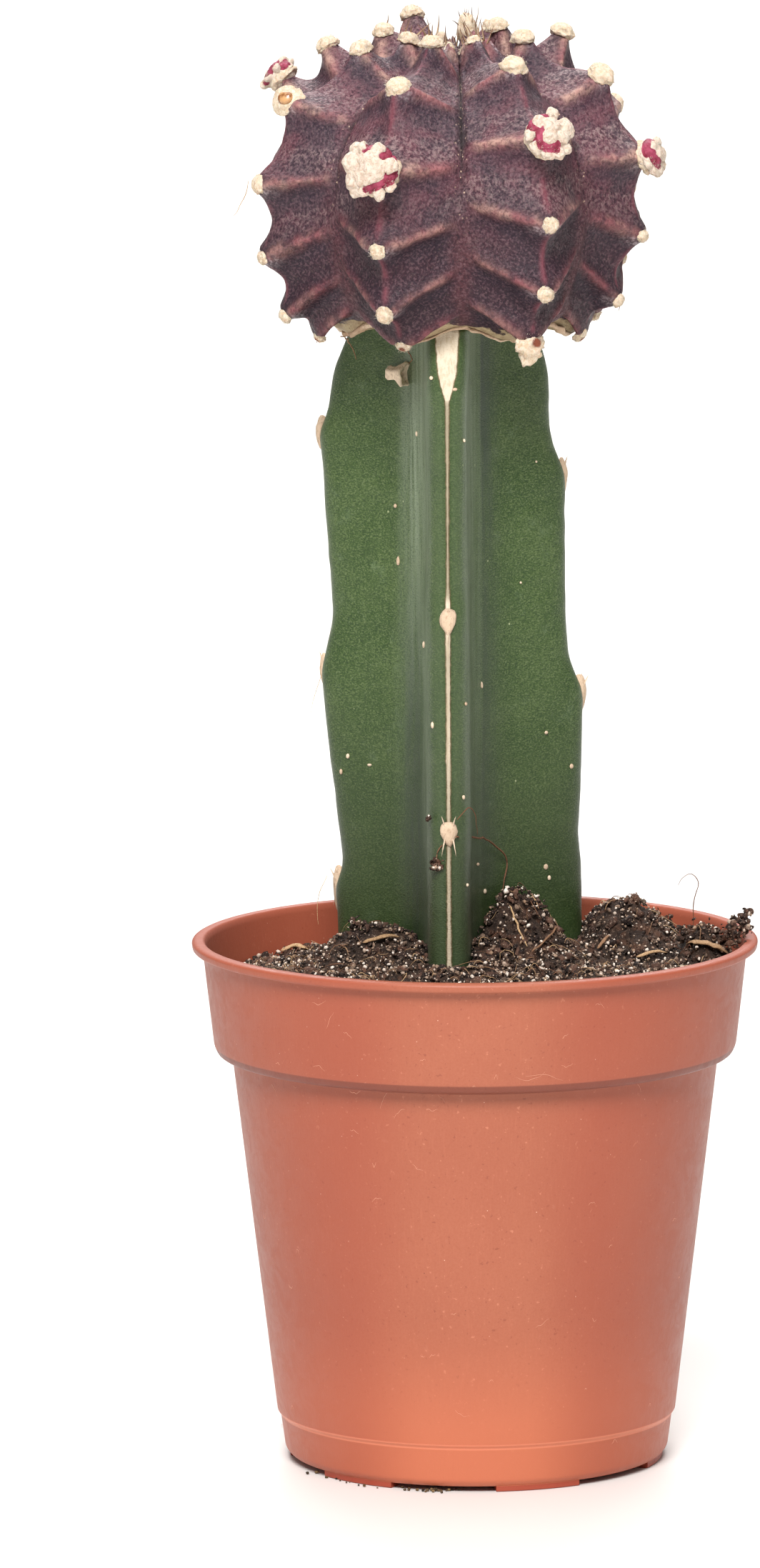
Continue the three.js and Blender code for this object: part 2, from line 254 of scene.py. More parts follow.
def hairs(roots, tips, bends, thickness, segments=4):
    """Three-sided tapered hairs from roots to tips, bowed sideways by bends."""
    along = np.linspace(0, 1, segments + 1)[None, :, None]
    line = roots[:, None] + (tips - roots)[:, None] * along
    line = line + bends[:, None] * (4 * along * (1 - along))
    axes = frames_along(tips - roots)
    turn = np.radians([90, 210, 330])
    ring = axes[:, :, 0, None] * np.cos(turn) + axes[:, :, 1, None] * np.sin(turn)
    taper = (1 - 0.93 * along[..., None] ** 1.4) * np.reshape(thickness, (-1, 1, 1, 1))
    points = line[:, :, None] + np.moveaxis(ring, 2, 1)[:, None] * taper
    root_end = np.array([[0, 2, 1]])
    tip_end = np.array([[0, 1, 2]]) + segments * 3
    faces = np.concatenate([root_end, grid_faces(segments + 1, 3), tip_end])
    return repeated(points.reshape(len(roots), -1, 3), faces)


def tube(path, radii, sides, smooth):
    """A closed tube along a smooth curve through the path's points."""
    at = np.linspace(0, len(path) - 1, (len(path) - 1) * smooth + 1)
    line, slope = spline(path, at)
    thick = np.interp(at, np.linspace(0, len(path) - 1, len(radii)), radii)
    axes = frames_along(slope)
    turn = full_turn(sides)[:, None]
    ring = axes[:, None, :, 0] * np.cos(turn) + axes[:, None, :, 1] * np.sin(turn)
    return closed_skin(line[:, None] + ring * thick[:, None, None])


# Materials

def tint(red, green, blue):
    """A colour given as the usual 0 to 255 values, as the linear values that a shader takes."""
    channels = np.array([red, green, blue]) / 255
    linear = np.where(channels <= 0.04045, channels / 12.92, ((channels + 0.055) / 1.055) ** 2.4)
    return (*linear.tolist(), 1.0)


class Finish:
    """One material, whose colour is laid on in coats. Texture sizes are in millimetres."""

    def __init__(self, name, **settings):
        self.material = bpy.data.materials.new(name)
        self.material.use_nodes = True
        self.tree = self.material.node_tree
        self.shader = self.tree.nodes["Principled BSDF"]
        self.fill(self.shader, {key.replace("_", " "): value for key, value in settings.items()})
        self.place = self.stretched(1, 1, 1)

    def fill(self, node, inputs):
        """Sets a node's inputs, or links those that another node gives."""
        for key, value in inputs.items():
            if isinstance(value, bpy.types.NodeSocket):
                self.tree.links.new(value, node.inputs[key])
            else:
                node.inputs[key].default_value = value

    def add(self, kind, inputs, output=0, **settings):
        """What a new node gives."""
        node = self.tree.nodes.new("ShaderNode" + kind)
        for key, value in settings.items():
            setattr(node, key, value)
        self.fill(node, inputs)
        return node.outputs[output]

    def stretched(self, x, y, z):
        """The place on the object in millimetres, divided by a length along each axis."""
        where = self.add("TexCoord", {}, "Object")
        return self.add("Mapping", {"Vector": where, "Scale": [1 / (size * MM) for size in (x, y, z)]})

    def axis(self, name):
        return self.add("SeparateXYZ", {0: self.place}, name)

    def noise(self, size, detail=2.0, rough=0.5, where=None, warp=0.0):
        return self.add("TexNoise", {"Vector": where or self.place, "Scale": 1 / size, "Detail": detail,
                                     "Roughness": rough, "Distortion": warp})

    def cells(self, size, where=None):
        return self.add("TexVoronoi", {"Vector": where or self.place, "Scale": 1 / size})

    def attribute(self, name):
        return self.add("Attribute", {}, "Fac", attribute_name=name)

    def fit(self, value, low, high, to_low=0.0, to_high=1.0):
        return self.add("MapRange", {"Value": value, "From Min": low, "From Max": high, "To Min": to_low,
                                     "To Max": to_high}, interpolation_type="SMOOTHSTEP")

    def math(self, operation, a, b=0.0):
        return self.add("Math", {0: a, 1: b}, operation=operation)

    def times(self, a, b):
        return self.math("MULTIPLY", a, b)

    def plus(self, a, b):
        return self.math("ADD", a, b)

    def minus(self, a, b):
        return self.math("SUBTRACT", a, b)

    def mix(self, share, a, b):
        """Two colours mixed, each given as 0 to 255 values or by a node."""
        a, b = (tint(*colour) if isinstance(colour, tuple) else colour for colour in (a, b))
        return self.add("Mix", {0: share, 6: a, 7: b}, 2, data_type="RGBA")

    def coat(self, share, colour):
        """Lays a colour over the rest by a share."""
        self.colour = self.mix(share, self.colour, colour)

    def tone(self, value, low, high, most, colour):
        """Lays a colour over the rest: not at all where a value is low, and mostly where it's high."""
        self.coat(self.fit(value, low, high, 0, most), colour)

    def done(self, roughness, *relief):
        """The material, with its roughness, and relief from (height, depth in millimetres) pairs."""
        normal = {}
        for height, depth in relief:
            inputs = {"Height": height, "Distance": depth * MM, "Strength": 1.0}
            normal = {"Normal": self.add("Bump", {**inputs, **normal})}
        self.fill(self.shader, {"Base Color": self.colour, "Roughness": roughness, **normal})
        return self.material


def pot_plastic():
    """Orange-brown moulded plastic, with a fine grain, faint streaks, dust and small specks, and painted
    light and shade: lighter towards the base and on the base step, darker to the sides, in the strip
    under the band and on the feet.
    """
    skin = Finish("pot_plastic", Specular_IOR_Level=0.4)
    cloud = skin.noise(16, 3)
    grain = skin.noise(0.25, 3, 0.7)
    streaks = skin.noise(1, 2, where=skin.stretched(0.25, 0.25, 9))
    dust = skin.noise(2.4, 5, 0.7, warp=1.2)
    freckles = skin.noise(0.55, 2, 0.6)
    dark_specks = skin.cells(2.6, where=skin.stretched(1.1, 1.1, 0.9))
    aside = skin.math("ABSOLUTE", skin.axis("X"))
    height = skin.axis("Z")
    skin.colour = skin.mix(skin.fit(cloud, 0.35, 0.68), (158, 88, 64), (163, 93, 68))
    skin.tone(grain, 0.3, 0.75, 0.4, (148, 76, 52))
    skin.tone(streaks, 0.5, 0.8, 0.12, (190, 112, 84))
    skin.tone(dust, 0.6, 0.8, 0.14, (206, 148, 124))
    skin.tone(skin.cells(2.1), 0.035, 0.018, 0.8, (224, 182, 160))
    skin.tone(freckles, 0.64, 0.74, 0.45, (118, 56, 40))
    skin.tone(freckles, 0.34, 0.26, 0.4, (206, 134, 106))
    skin.tone(dark_specks, 0.035, 0.02, 0.6, (84, 40, 30))
    # Painted light: the plastic is brighter towards the base.
    skin.tone(height, 22, 2, 0.9, (192, 106, 74))
    # Painted shade: darker further to either side of the pot's front-to-back middle line.
    skin.tone(aside, 5, 15, 0.48, (146, 62, 42))
    # Painted shade: a dark line on the rounded strip under the band, which faces down.
    below_band = skin.fit(height, BAND_BOTTOM + 0.1, BAND_BOTTOM - 0.1)
    shade_under_band = skin.times(below_band, skin.fit(height, BODY_TOP - 0.3, BODY_TOP))
    skin.coat(skin.times(shade_under_band, 0.7), (100, 46, 34))
    # Painted light: a lighter strip along the base step, which faces down.
    from_step = skin.math("ABSOLUTE", skin.minus(height, BASE_STEP - 0.2))
    skin.tone(from_step, 0.4, 0.25, 0.7, (220, 132, 100))
    # Painted shade: the feet under the pot are darker.
    skin.tone(height, FOOT + 0.1, FOOT, 0.85, (146, 56, 38))
    return skin.done(skin.fit(dust, 0.3, 0.75, 0.4, 0.54), (cloud, 0.05), (streaks, 0.012), (grain, 0.012))


def lint():
    """Pale hairs and scuffs on the plastic."""
    skin = Finish("pale_lint")
    skin.colour = skin.mix(skin.noise(0.8), (222, 172, 148), (206, 134, 104))
    return skin.done(skin.fit(skin.noise(0.5), 0.3, 0.7, 0.55, 0.8), (skin.noise(0.1), 0.01))


def potting_soil(name, dark, light, pale_share):
    """Dark crumbs whose shade follows each crumb's own value."""
    skin = Finish(name, Specular_IOR_Level=0.3)
    mottle = skin.noise(0.35, 4, 0.7)
    glints = skin.noise(0.2, 3, 0.65)
    skin.colour = skin.mix(skin.attribute("shade"), dark, light)
    skin.tone(mottle, 0.35, 0.7, 0.6, (24, 16, 13))
    skin.tone(skin.noise(1.6, 2), 0.5, 0.7, 0.5, (96, 62, 44))
    skin.tone(glints, 0.58, 0.66, pale_share, (176, 150, 130))
    return skin.done(skin.fit(mottle, 0.3, 0.7, 0.95, 0.7), (mottle, 0.3), (glints, 0.1))


def shaded_bits(name, gloss, texture, dark, light, spots, spot_share, spot_colour, rough, depth):
    """Bits whose shade follows each one's own value, with spots of another colour.
    A texture is (size, detail, roughness, stretch along each axis)."""
    skin = Finish(name, Specular_IOR_Level=gloss)
    size, detail, ragged, stretch = texture
    marks = skin.noise(size, detail, ragged, where=stretch and skin.stretched(*stretch))
    skin.colour = skin.mix(skin.attribute("shade"), dark, light)
    skin.tone(marks, *spots, spot_share, spot_colour)
    return skin.done(skin.fit(marks, 0.3, 0.7, *rough), (marks, depth))


def pale_grains():
    """Cream and white grains in the mix."""
    return shaded_bits("pale_grains", 0.4, (0.25, 3, 0.7, None), (146, 116, 92), (236, 222, 208),
                       (0.5, 0.75), 0.6, (120, 92, 70), (0.5, 0.85), 0.08)


def plant_fibre():
    """Dry fibres and bark: tan to red-brown by each piece's own value."""
    return shaded_bits("plant_fibre", 0.3, (0.5, 4, 0.7, (0.25, 1, 0.25)), (104, 58, 40), (208, 172, 128),
                       (0.45, 0.7), 0.65, (74, 46, 32), (0.6, 0.9), 0.12)


def cork():
    """Beige dried skin: areoles, bulbs and remnants on the stem."""
    return shaded_bits("stem_cork", 0.3, (0.6, 4, 0.7, (0.5, 0.5, 1)), (150, 112, 80), (228, 206, 180),
                       (0.48, 0.74), 0.6, (128, 92, 66), (0.6, 0.85), 0.15)


def stem_skin():
    """Green skin with a fine granular pattern, grey valleys and corky rib edges, with painted light and
    shade: highlights and shadows in the valleys' grey, and shade on the front wing's rim and near the soil.
    """
    skin = Finish("stem_skin", Specular_IOR_Level=0.4)
    patches = skin.noise(7, 4, 0.6)
    grain = skin.noise(0.2, 2, 0.6, where=skin.stretched(1.25, 1.25, 0.8), warp=0.35)
    fine = skin.noise(0.2, 3, 0.7)
    skin.colour = skin.mix(skin.fit(patches, 0.35, 0.65), (48, 70, 27), (60, 80, 37))
    skin.tone(grain, 0.47, 0.72, 0.5, (112, 124, 82))
    skin.tone(grain, 0.52, 0.32, 0.6, (22, 42, 14))
    skin.tone(fine, 0.56, 0.74, 0.4, (128, 140, 104))
    skin.tone(skin.noise(3.2, 4, 0.75), 0.55, 0.8, 0.3, (108, 124, 98))
    # The valleys' grey: a waxy coating with painted light and shade, from a painted shadow where its
    # lightness value is low to a painted highlight where it is high, broken into streaks.
    streaks = skin.fit(skin.noise(1, 4, 0.6, where=skin.stretched(0.8, 0.8, 14)), 0.3, 0.65, 0.3, 1)
    grey = skin.mix(skin.attribute("bloom_light_and_shade"), (52, 62, 50), (130, 142, 118))
    grey = skin.mix(skin.fit(grain, 0.48, 0.32, 0, 0.5), grey, (44, 58, 44))
    skin.coat(skin.times(skin.times(skin.attribute("valley"), streaks), 0.56), grey)
    # Painted shade: the front wing's rim, which faces the light, is darkened.
    skin.coat(skin.times(skin.attribute("front"), 0.42), (34, 52, 18))
    skin.tone(skin.cells(3.7, where=skin.stretched(1, 1, 1.25)), 0.04, 0.02, 0.7, (176, 182, 140))
    # Painted shade: darker towards the soil.
    skin.tone(skin.axis("Z"), 96, 60, 0.6, (38, 48, 26))
    edge = skin.attribute("edge_mm")
    cork_width = skin.attribute("cork_mm")
    # Painted highlight: a lighter strip just inside each wing's edge.
    skin.coat(skin.times(skin.fit(edge, 0.2, 0.9), skin.fit(edge, 2.6, 1.2, 0, 0.1)), (124, 136, 108))
    ragged = skin.times(skin.minus(skin.noise(0.7, 3), 0.5), 0.3)
    past_cork = skin.minus(skin.plus(cork_width, ragged), edge)
    corky = skin.fit(past_cork, -0.03, 0.07)
    lines = skin.noise(1, 3, 0.6, where=skin.stretched(0.32, 0.32, 7))
    bark = skin.mix(skin.fit(lines, 0.4, 0.7), (204, 190, 168), (186, 168, 142))
    thin_bark = skin.mix(skin.noise(2.5, 3), (100, 88, 64), (160, 148, 122))
    skin.coat(corky, skin.mix(skin.fit(cork_width, 0.32, 0.22, 0, 0.8), bark, thin_bark))
    rim = skin.fit(skin.math("ABSOLUTE", past_cork), 0.15, 0.0)
    skin.coat(skin.times(rim, skin.fit(cork_width, 0.02, 0.2, 0.3, 0.75)), (96, 80, 52))
    return skin.done(skin.fit(corky, 0, 1, 0.4, 0.75),
                     (patches, 0.1), (grain, 0.07), (fine, 0.02), (skin.times(lines, corky), 0.04))


def head_skin():
    """Dark purple-brown skin, finely wrinkled, with pink bands, crimson crests and dark furrows, a
    painted sheen on the upper panels, and painted shade over the lower head and in the furrows' creases.
    """
    skin = Finish("head_skin", Specular_IOR_Level=0.26)
    clouds = skin.noise(5, 4, 0.6)
    wrinkles = skin.noise(0.42, 4, 0.62, where=skin.stretched(0.95, 0.95, 1.15), warp=0.3)
    pebbles = skin.noise(0.3, 2, 0.55)
    ridges = skin.fit(wrinkles, 0.43, 0.65)
    low = skin.attribute("low")
    skin.colour = skin.mix(skin.fit(clouds, 0.4, 0.62), (64, 46, 55), (90, 50, 60))
    # Painted shade: the lower head, which faces down, is much darker.
    skin.coat(skin.times(low, 0.92), (34, 14, 27))
    skin.coat(skin.times(skin.times(skin.attribute("middle"), low), 0.7), (78, 38, 44))
    skin.coat(skin.times(skin.times(skin.attribute("sheen"), ridges), 0.62), (158, 134, 131))
    skin.tone(wrinkles, 0.47, 0.34, 0.66, (38, 27, 35))
    skin.coat(skin.times(skin.attribute("shade_below"), 0.6), (36, 24, 38))
    skin.tone(pebbles, 0.48, 0.66, 0.22, (134, 102, 108))
    skin.tone(pebbles, 0.5, 0.32, 0.45, (32, 20, 28))
    skin.coat(skin.times(skin.attribute("neck"), skin.plus(ridges, 0.15)), (150, 136, 140))
    broken = skin.fit(skin.noise(1.5, 4, 0.65), 0.34, 0.62, 0.25, 1)
    pinks = skin.mix(skin.fit(skin.noise(3.2, 3), 0.4, 0.6), (154, 98, 98), (192, 154, 138))
    # Painted shade: the bands darken on the lower head too.
    pinks = skin.mix(skin.times(low, 0.66), pinks, (112, 50, 60))
    pinks = skin.mix(skin.fit(wrinkles, 0.52, 0.34, 0, 0.6), pinks, (92, 54, 58))
    skin.coat(skin.times(skin.times(skin.attribute("band"), broken), 0.8), pinks)
    worn = skin.fit(skin.noise(2.4, 3), 0.38, 0.62, 0.1, 0.65)
    skin.coat(skin.times(skin.attribute("crest"), worn), (122, 62, 72))
    # Painted shade: the dark line in each furrow's crease.
    skin.coat(skin.times(skin.attribute("furrow"), 0.92), (24, 13, 15))
    crumbs = skin.times(skin.fit(skin.cells(0.5), 0.26, 0.16), skin.fit(skin.noise(0.9, 2), 0.44, 0.54))
    skin.coat(skin.times(crumbs, skin.plus(skin.attribute("specks"), 0.04)), (206, 176, 150))
    edge = skin.plus(skin.attribute("graft"), skin.times(skin.noise(1.4, 4, 0.6), 0.9))
    skin.coat(skin.fit(edge, 1.08, 1.22), skin.mix(skin.noise(0.8, 3), (190, 172, 136), (110, 84, 60)))
    return skin.done(skin.fit(wrinkles, 0.3, 0.7, 0.6, 0.38),
                     (clouds, 0.2), (wrinkles, 0.2), (pebbles, 0.09), (skin.noise(0.16, 2), 0.02))


def wool(name, pale, warm):
    """Matted cream wool, browner where the brown value is high."""
    skin = Finish(name, Specular_IOR_Level=0.2, Subsurface_Weight=0.15, Subsurface_Scale=0.0006)
    tufts = skin.noise(0.45, 4, 0.7, warp=0.8)
    skin.colour = skin.mix(skin.fit(tufts, 0.35, 0.65), warm, pale)
    brown = skin.plus(skin.attribute("brown"), skin.times(skin.noise(0.9, 3, 0.6), 0.55))
    skin.tone(brown, 0.42, 0.95, 1, (120, 66, 48))
    return skin.done(skin.fit(tufts, 0.3, 0.7, 0.95, 0.8), (tufts, 0.16), (skin.noise(0.12, 3, 0.7), 0.05))


def bud_finish():
    """Buds: matted cream wool, with fresh crimson skin where it shows."""
    skin = Finish("bud_wool_and_skin", Specular_IOR_Level=0.35, Subsurface_Weight=0.12,
                  Subsurface_Scale=0.0006)
    tufts = skin.noise(0.5, 4, 0.7, warp=0.8)
    pale = skin.mix(skin.fit(tufts, 0.33, 0.6), (186, 162, 142), (214, 198, 182))
    fresh = skin.mix(skin.fit(skin.noise(0.9, 3), 0.35, 0.65), (122, 26, 50), (160, 62, 88))
    strays = skin.times(skin.minus(skin.noise(0.2, 3, 0.7), 0.5), 0.8)
    shows = skin.fit(skin.plus(skin.attribute("skin_shows"), strays), 0.4, 0.6)
    skin.colour = skin.mix(shows, pale, fresh)
    return skin.done(skin.fit(shows, 0, 1, 0.9, 0.42), (tufts, 0.2), (skin.noise(0.14, 3, 0.7), 0.08))


def amber():
    """A dried drop of sap."""
    skin = Finish("amber_drop", Roughness=0.2, Specular_IOR_Level=0.6)
    clouds = skin.noise(0.9, 2)
    skin.colour = skin.mix(skin.fit(clouds, 0.35, 0.65), (122, 72, 38), (190, 144, 96))
    return skin.done(skin.fit(clouds, 0.3, 0.7, 0.18, 0.4), (clouds, 0.08))


def spine_brown():
    """Spines: red-brown with paler roots."""
    skin = Finish("spine_brown", Specular_IOR_Level=0.5)
    skin.colour = skin.mix(skin.attribute("shade"), (70, 38, 26), (206, 170, 128))
    skin.tone(skin.noise(0.7, 2), 0.4, 0.7, 0.5, (112, 60, 36))
    return skin.done(skin.fit(skin.noise(0.3), 0.3, 0.7, 0.4, 0.6), (skin.noise(0.15), 0.01))


# The pot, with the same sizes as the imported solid
LIP_RADIUS = 32.5
LIP_INNER_RADIUS = 30.9
POT_HEIGHT = 60.4
LIP_HEIGHT = 1.1
WALL = 0.8
BAND_TOP_RADIUS = 31.25
BAND_BOTTOM_RADIUS = 30.0
BAND_BOTTOM = 48.3
BODY_TOP_RADIUS = 27.95
BODY_TOP = 47.2
BODY_BOTTOM_RADIUS = 22.95
BASE_STEP = 5.6
BASE_STEP_RADIUS = 22.6
BASE_RADIUS = 22.05
FLOOR = 1.0
FOOT = 0.6
FOOT_RING = (18.9, 21.5)
FOOT_COUNT = 6
FOOT_HALF_ANGLE = 13.5
FOOT_BEVEL = 0.12
FIRST_FOOT = 19.5
DRAIN_RADIUS = 2.2
DRAIN_RING = 13.5
# How finely the pot's profile is cut
CORNER_RADIUS = 0.32
CORNER_STEPS = 3
LONGEST_RUN = 2.5
# The small ring that closes the underside and the floor
MIDDLE_RADIUS = 0.4
POT_COLUMNS = 224
HOLE_CUT = (-1.0, 3.0)


def rounded(profile):
    """A profile with its corners turned into small curves, and long runs cut into short ones."""
    profile = np.array(profile, float)
    curved = [profile[0]]
    for before, corner, after in zip(profile, profile[1:], profile[2:]):
        back = before - corner
        on = after - corner
        cut = min(CORNER_RADIUS, 0.4 * np.linalg.norm(back), 0.4 * np.linalg.norm(on))
        start = corner + unit(back) * cut
        end = corner + unit(on) * cut
        for share in np.linspace(0, 1, CORNER_STEPS + 1):
            curved.append(lerp(lerp(start, corner, share), lerp(corner, end, share), share))
    line = [curved[0]]
    for point in [*curved[1:], profile[-1]]:
        start = line[-1]
        runs = max(1, int(np.linalg.norm(point - start) / LONGEST_RUN))
        line += [lerp(start, point, k / runs) for k in range(1, runs + 1)]
    return np.array(line)


def pot_rings():
    """The pot's skin, from the middle of its underside over the lip to the middle of its floor."""
    lip_bottom = POT_HEIGHT - LIP_HEIGHT
    profile = rounded([
        (MIDDLE_RADIUS, FOOT), (BASE_RADIUS - 0.6, FOOT), (BASE_RADIUS, FOOT + 0.7),
        (BASE_STEP_RADIUS, BASE_STEP - 0.3), (BODY_BOTTOM_RADIUS, BASE_STEP),
        (BODY_TOP_RADIUS, BODY_TOP), (BAND_BOTTOM_RADIUS - 0.4, BODY_TOP + 0.2),
        (BAND_BOTTOM_RADIUS, BAND_BOTTOM), (BAND_TOP_RADIUS, lip_bottom), (LIP_RADIUS - 0.1, lip_bottom),
        (LIP_RADIUS, POT_HEIGHT - 0.25), (LIP_RADIUS - 0.45, POT_HEIGHT),
        (LIP_INNER_RADIUS + 0.2, POT_HEIGHT), (LIP_INNER_RADIUS - 0.1, POT_HEIGHT - 0.6),
        (BAND_BOTTOM_RADIUS - WALL, BAND_BOTTOM), (BODY_TOP_RADIUS - WALL, BODY_TOP - 0.3),
        (BASE_RADIUS - WALL, FOOT + FLOOR + 1), (BASE_RADIUS - WALL - 0.9, FOOT + FLOOR),
        (MIDDLE_RADIUS, FOOT + FLOOR),
    ])
    angles = full_turn(POT_COLUMNS, 360)
    return polar(profile[:, 0, None], angles[None, :], profile[:, 1, None])


def join_or_cut(piece, bodies, operation):
    """Joins bodies to a piece, or cuts them out of it."""
    points, faces = together(bodies)
    mesh = bpy.data.meshes.new(operation)
    mesh.from_pydata((points * MM).tolist(), [], facing_out(points, faces).tolist())
    tool = bpy.data.objects.new(operation, mesh)
    bpy.context.scene.collection.objects.link(tool)
    modifier = piece.modifiers.new(operation, "BOOLEAN")
    modifier.operation = operation
    modifier.solver = "EXACT"
    modifier.object = tool
    graph = bpy.context.evaluated_depsgraph_get()
    result = bpy.data.meshes.new_from_object(piece.evaluated_get(graph))
    piece.modifiers.clear()
    piece.data = result
    bpy.data.objects.remove(tool)


def foot_pad(middle):
    """One pad of the foot's ring, grown a little into the floor."""
    angles = np.linspace(middle - FOOT_HALF_ANGLE, middle + FOOT_HALF_ANGLE, 13)
    inner, outer = FOOT_RING
    top = FOOT + FLOOR / 2
    section = [
        (inner + FOOT_BEVEL, 0), (outer - FOOT_BEVEL, 0), (outer, FOOT_BEVEL), (outer, top), (inner, top),
        (inner, FOOT_BEVEL),
    ]
    return closed_skin(np.array([[polar(r, a, z) for r, z in section] for a in angles]))


def drain_hole(x, y):
    """A round plug that cuts through the floor."""
    turn = full_turn(32)
    circle = np.stack([x + DRAIN_RADIUS * np.cos(turn), y + DRAIN_RADIUS * np.sin(turn)], -1)
    return closed_skin(np.array([[(*point, z) for point in circle] for z in HOLE_CUT]))


def build_pot():
    """The pot with its foot pads joined on and its drain holes cut out."""
    pot = make_piece("pot_shell", closed_skin(pot_rings()), pot_plastic(), "pot_plastic", ["pot"])
    middles = [FIRST_FOOT + k * 360 / FOOT_COUNT for k in range(FOOT_COUNT)]
    join_or_cut(pot, [foot_pad(middle) for middle in middles], "UNION")
    spots = [(0, 0)] + [polar(DRAIN_RING, middle, 0)[:2] for middle in middles]
    join_or_cut(pot, [drain_hole(x, y) for x, y in spots], "DIFFERENCE")


# Places of the scuffs that show on the front, as (degrees from the front, height, length, bend)
FRONT_SCUFFS = np.array([
    (-47.9, 49.2, 0.7, 0.2), (-35.9, 49.4, 1.6, 0.4), (-27, 47.3, 1.4, -0.3), (-8.5, 46.5, 1.5, 0.4),
    (-34.5, 57.4, 1.9, -0.4), (-32, 55.2, 1.1, 0.3), (-28, 53.7, 1.0, 0.2), (12, 49.6, 3.4, -0.6),
    (15, 49.0, 4.4, 0.5), (20, 50.6, 1.4, -0.3), (41, 46.6, 1.4, 0.5), (-14, 38.5, 1.2, -0.3),
    (-25, 34.2, 1.3, 0.3), (-10, 45.4, 1.2, -0.3), (-18, 44.6, 1.4, 0.3), (-30, 42.0, 1.1, 0.2),
    (30, 33.5, 0.9, 0.2), (-21, 46.4, 1.8, 0.5), (27, 57.0, 1.2, 0.3), (-4, 9.6, 1.6, -0.3),
])
# The rest are strewn by chance.
STRAY_SCUFFS = 60
SCUFF_POINTS = 6
SCUFF_RADII = [0.006, 0.018, 0.014, 0.006]
WALL_SLOPE = 0.115


def outer_radius(z):
    """The pot's outside at a height."""
    sizes = [
        (FOOT, BASE_RADIUS), (BASE_STEP, BODY_BOTTOM_RADIUS), (BODY_TOP, BODY_TOP_RADIUS),
        (BODY_TOP + 0.01, BAND_BOTTOM_RADIUS - 0.2), (BAND_BOTTOM, BAND_BOTTOM_RADIUS),
        (POT_HEIGHT - LIP_HEIGHT, BAND_TOP_RADIUS),
    ]
    return np.interp(z, *np.transpose(sizes))


def build_lint():
    """Short pale hairs and scuffs that lie on the outside of the pot."""
    random = np.random.default_rng(11)
    strays = [
        random.uniform(-180, 180, STRAY_SCUFFS), random.uniform(3, 57, STRAY_SCUFFS),
        random.gamma(2.0, 0.25, STRAY_SCUFFS) + 0.2, random.normal(0, 0.3, STRAY_SCUFFS),
    ]
    scuffs = np.concatenate([FRONT_SCUFFS, np.transpose(strays)])
    slopes = random.normal(0, 0.5, len(scuffs))
    along = np.linspace(-0.5, 0.5, SCUFF_POINTS)
    bodies = []
    for (middle, z, length, bend), slope in zip(scuffs, slopes):
        height = z + along * length * slope + bend * (1 - 4 * along**2) + 0.08 * np.sin(along * 19 + z)
        radius = outer_radius(np.full(SCUFF_POINTS, z)) + (height - z) * WALL_SLOPE
        turn = middle + np.degrees(along * length / radius)
        bodies.append(tube(polar(radius + 0.005, turn, height), SCUFF_RADII, 5, 3))
    make_piece("pot_lint", together(bodies), lint(), "pot_plastic")


# The stem. Each wing has its angle, and pairs from the top down: its reach from the stem's axis
# and the half width of its cork, both by height. The grey's lightness and the valley are for its left
# and right side; the grey is a waxy coating with a painted highlight where it is light and a painted
# shadow where it is dark.
STOCK_X = -2.9
STOCK_BOTTOM = 44.0
STOCK_TOP = 131.85
WING_HALF = 2.5
FILLET = 10.6
WINGS = [
    {"angle": -120, "bloom_light_and_shade": (0.4, 0.75), "valley": ((0.5, 0.9), (0.8, 1.0)),
     "margin": [(131.85, 11.6), (125.4, 14.9), (120.3, 15.7), (118, 16.7), (104.2, 15.8), (96.7, 15.2),
                (90.4, 16.5), (81.8, 15.8), (68, 13.9), (65.4, 14.8), (62, 14.6)],
     "cork": [(131.8, 0.7), (126, 0.3), (121, 0.28), (118, 0.7), (114, 0.26), (97, 0.24), (91, 0.6),
              (84, 0.45), (78, 0.26), (68, 0.28), (65.5, 0.8), (58, 0.35)]},
    {"angle": 0, "bloom_light_and_shade": (1.0, 0.8), "valley": ((0.28, 0.5), (0.22, 0.42)),
     "margin": [(131.85, 12.4), (124.6, 15.4), (101.5, 15.1), (98.8, 15.9), (77.5, 15.0), (74.5, 15.8),
                (62, 15.2)],
     "cork": [(131.8, 1.4), (127.2, 1.1), (125.2, 0.6), (124.0, 0.24), (116, 0.19), (103, 0.18),
              (100, 0.36), (95, 0.26), (84, 0.28), (76, 0.24), (60, 0.28)]},
    {"angle": 120, "bloom_light_and_shade": (0.0, 0.4), "valley": ((0.8, 1.0), (0.5, 0.9)),
     "margin": [(131.85, 10.6), (125.4, 13.1), (117.7, 13.4), (112.8, 15.3), (96.6, 15.4), (91.7, 15.9),
                (87.5, 17.6), (76.7, 17.3), (71.7, 17.0), (66.7, 17.5), (62, 17.5)],
     "cork": [(131.8, 0.7), (126, 0.28), (116, 0.26), (113, 0.6), (109, 0.28), (93, 0.26), (88, 0.7),
              (82, 0.42), (72, 0.28), (62, 0.28)]},
]
LEFT, FRONT, RIGHT = range(len(WINGS))
WING_CENTRE = (WING_HALF + FILLET) / math.tan(math.radians(60))


def wing_axes(wing):
    """The directions along a wing and across it."""
    return polar(1, wing["angle"], 0), polar(1, wing["angle"] + 90, 0)


def from_list(pairs, z):
    """The value at a height, from (height, value) pairs listed from the top down."""
    heights, values = np.array(pairs[::-1]).T
    return np.interp(z, heights, values)


def smooth_reach(wing, z):
    """A wing's reach with the list's corners softened."""
    spread = np.linspace(-1.2, 1.2, 7)
    return np.mean([from_list(wing["margin"], np.minimum(z + s, STOCK_TOP)) for s in spread], axis=0)


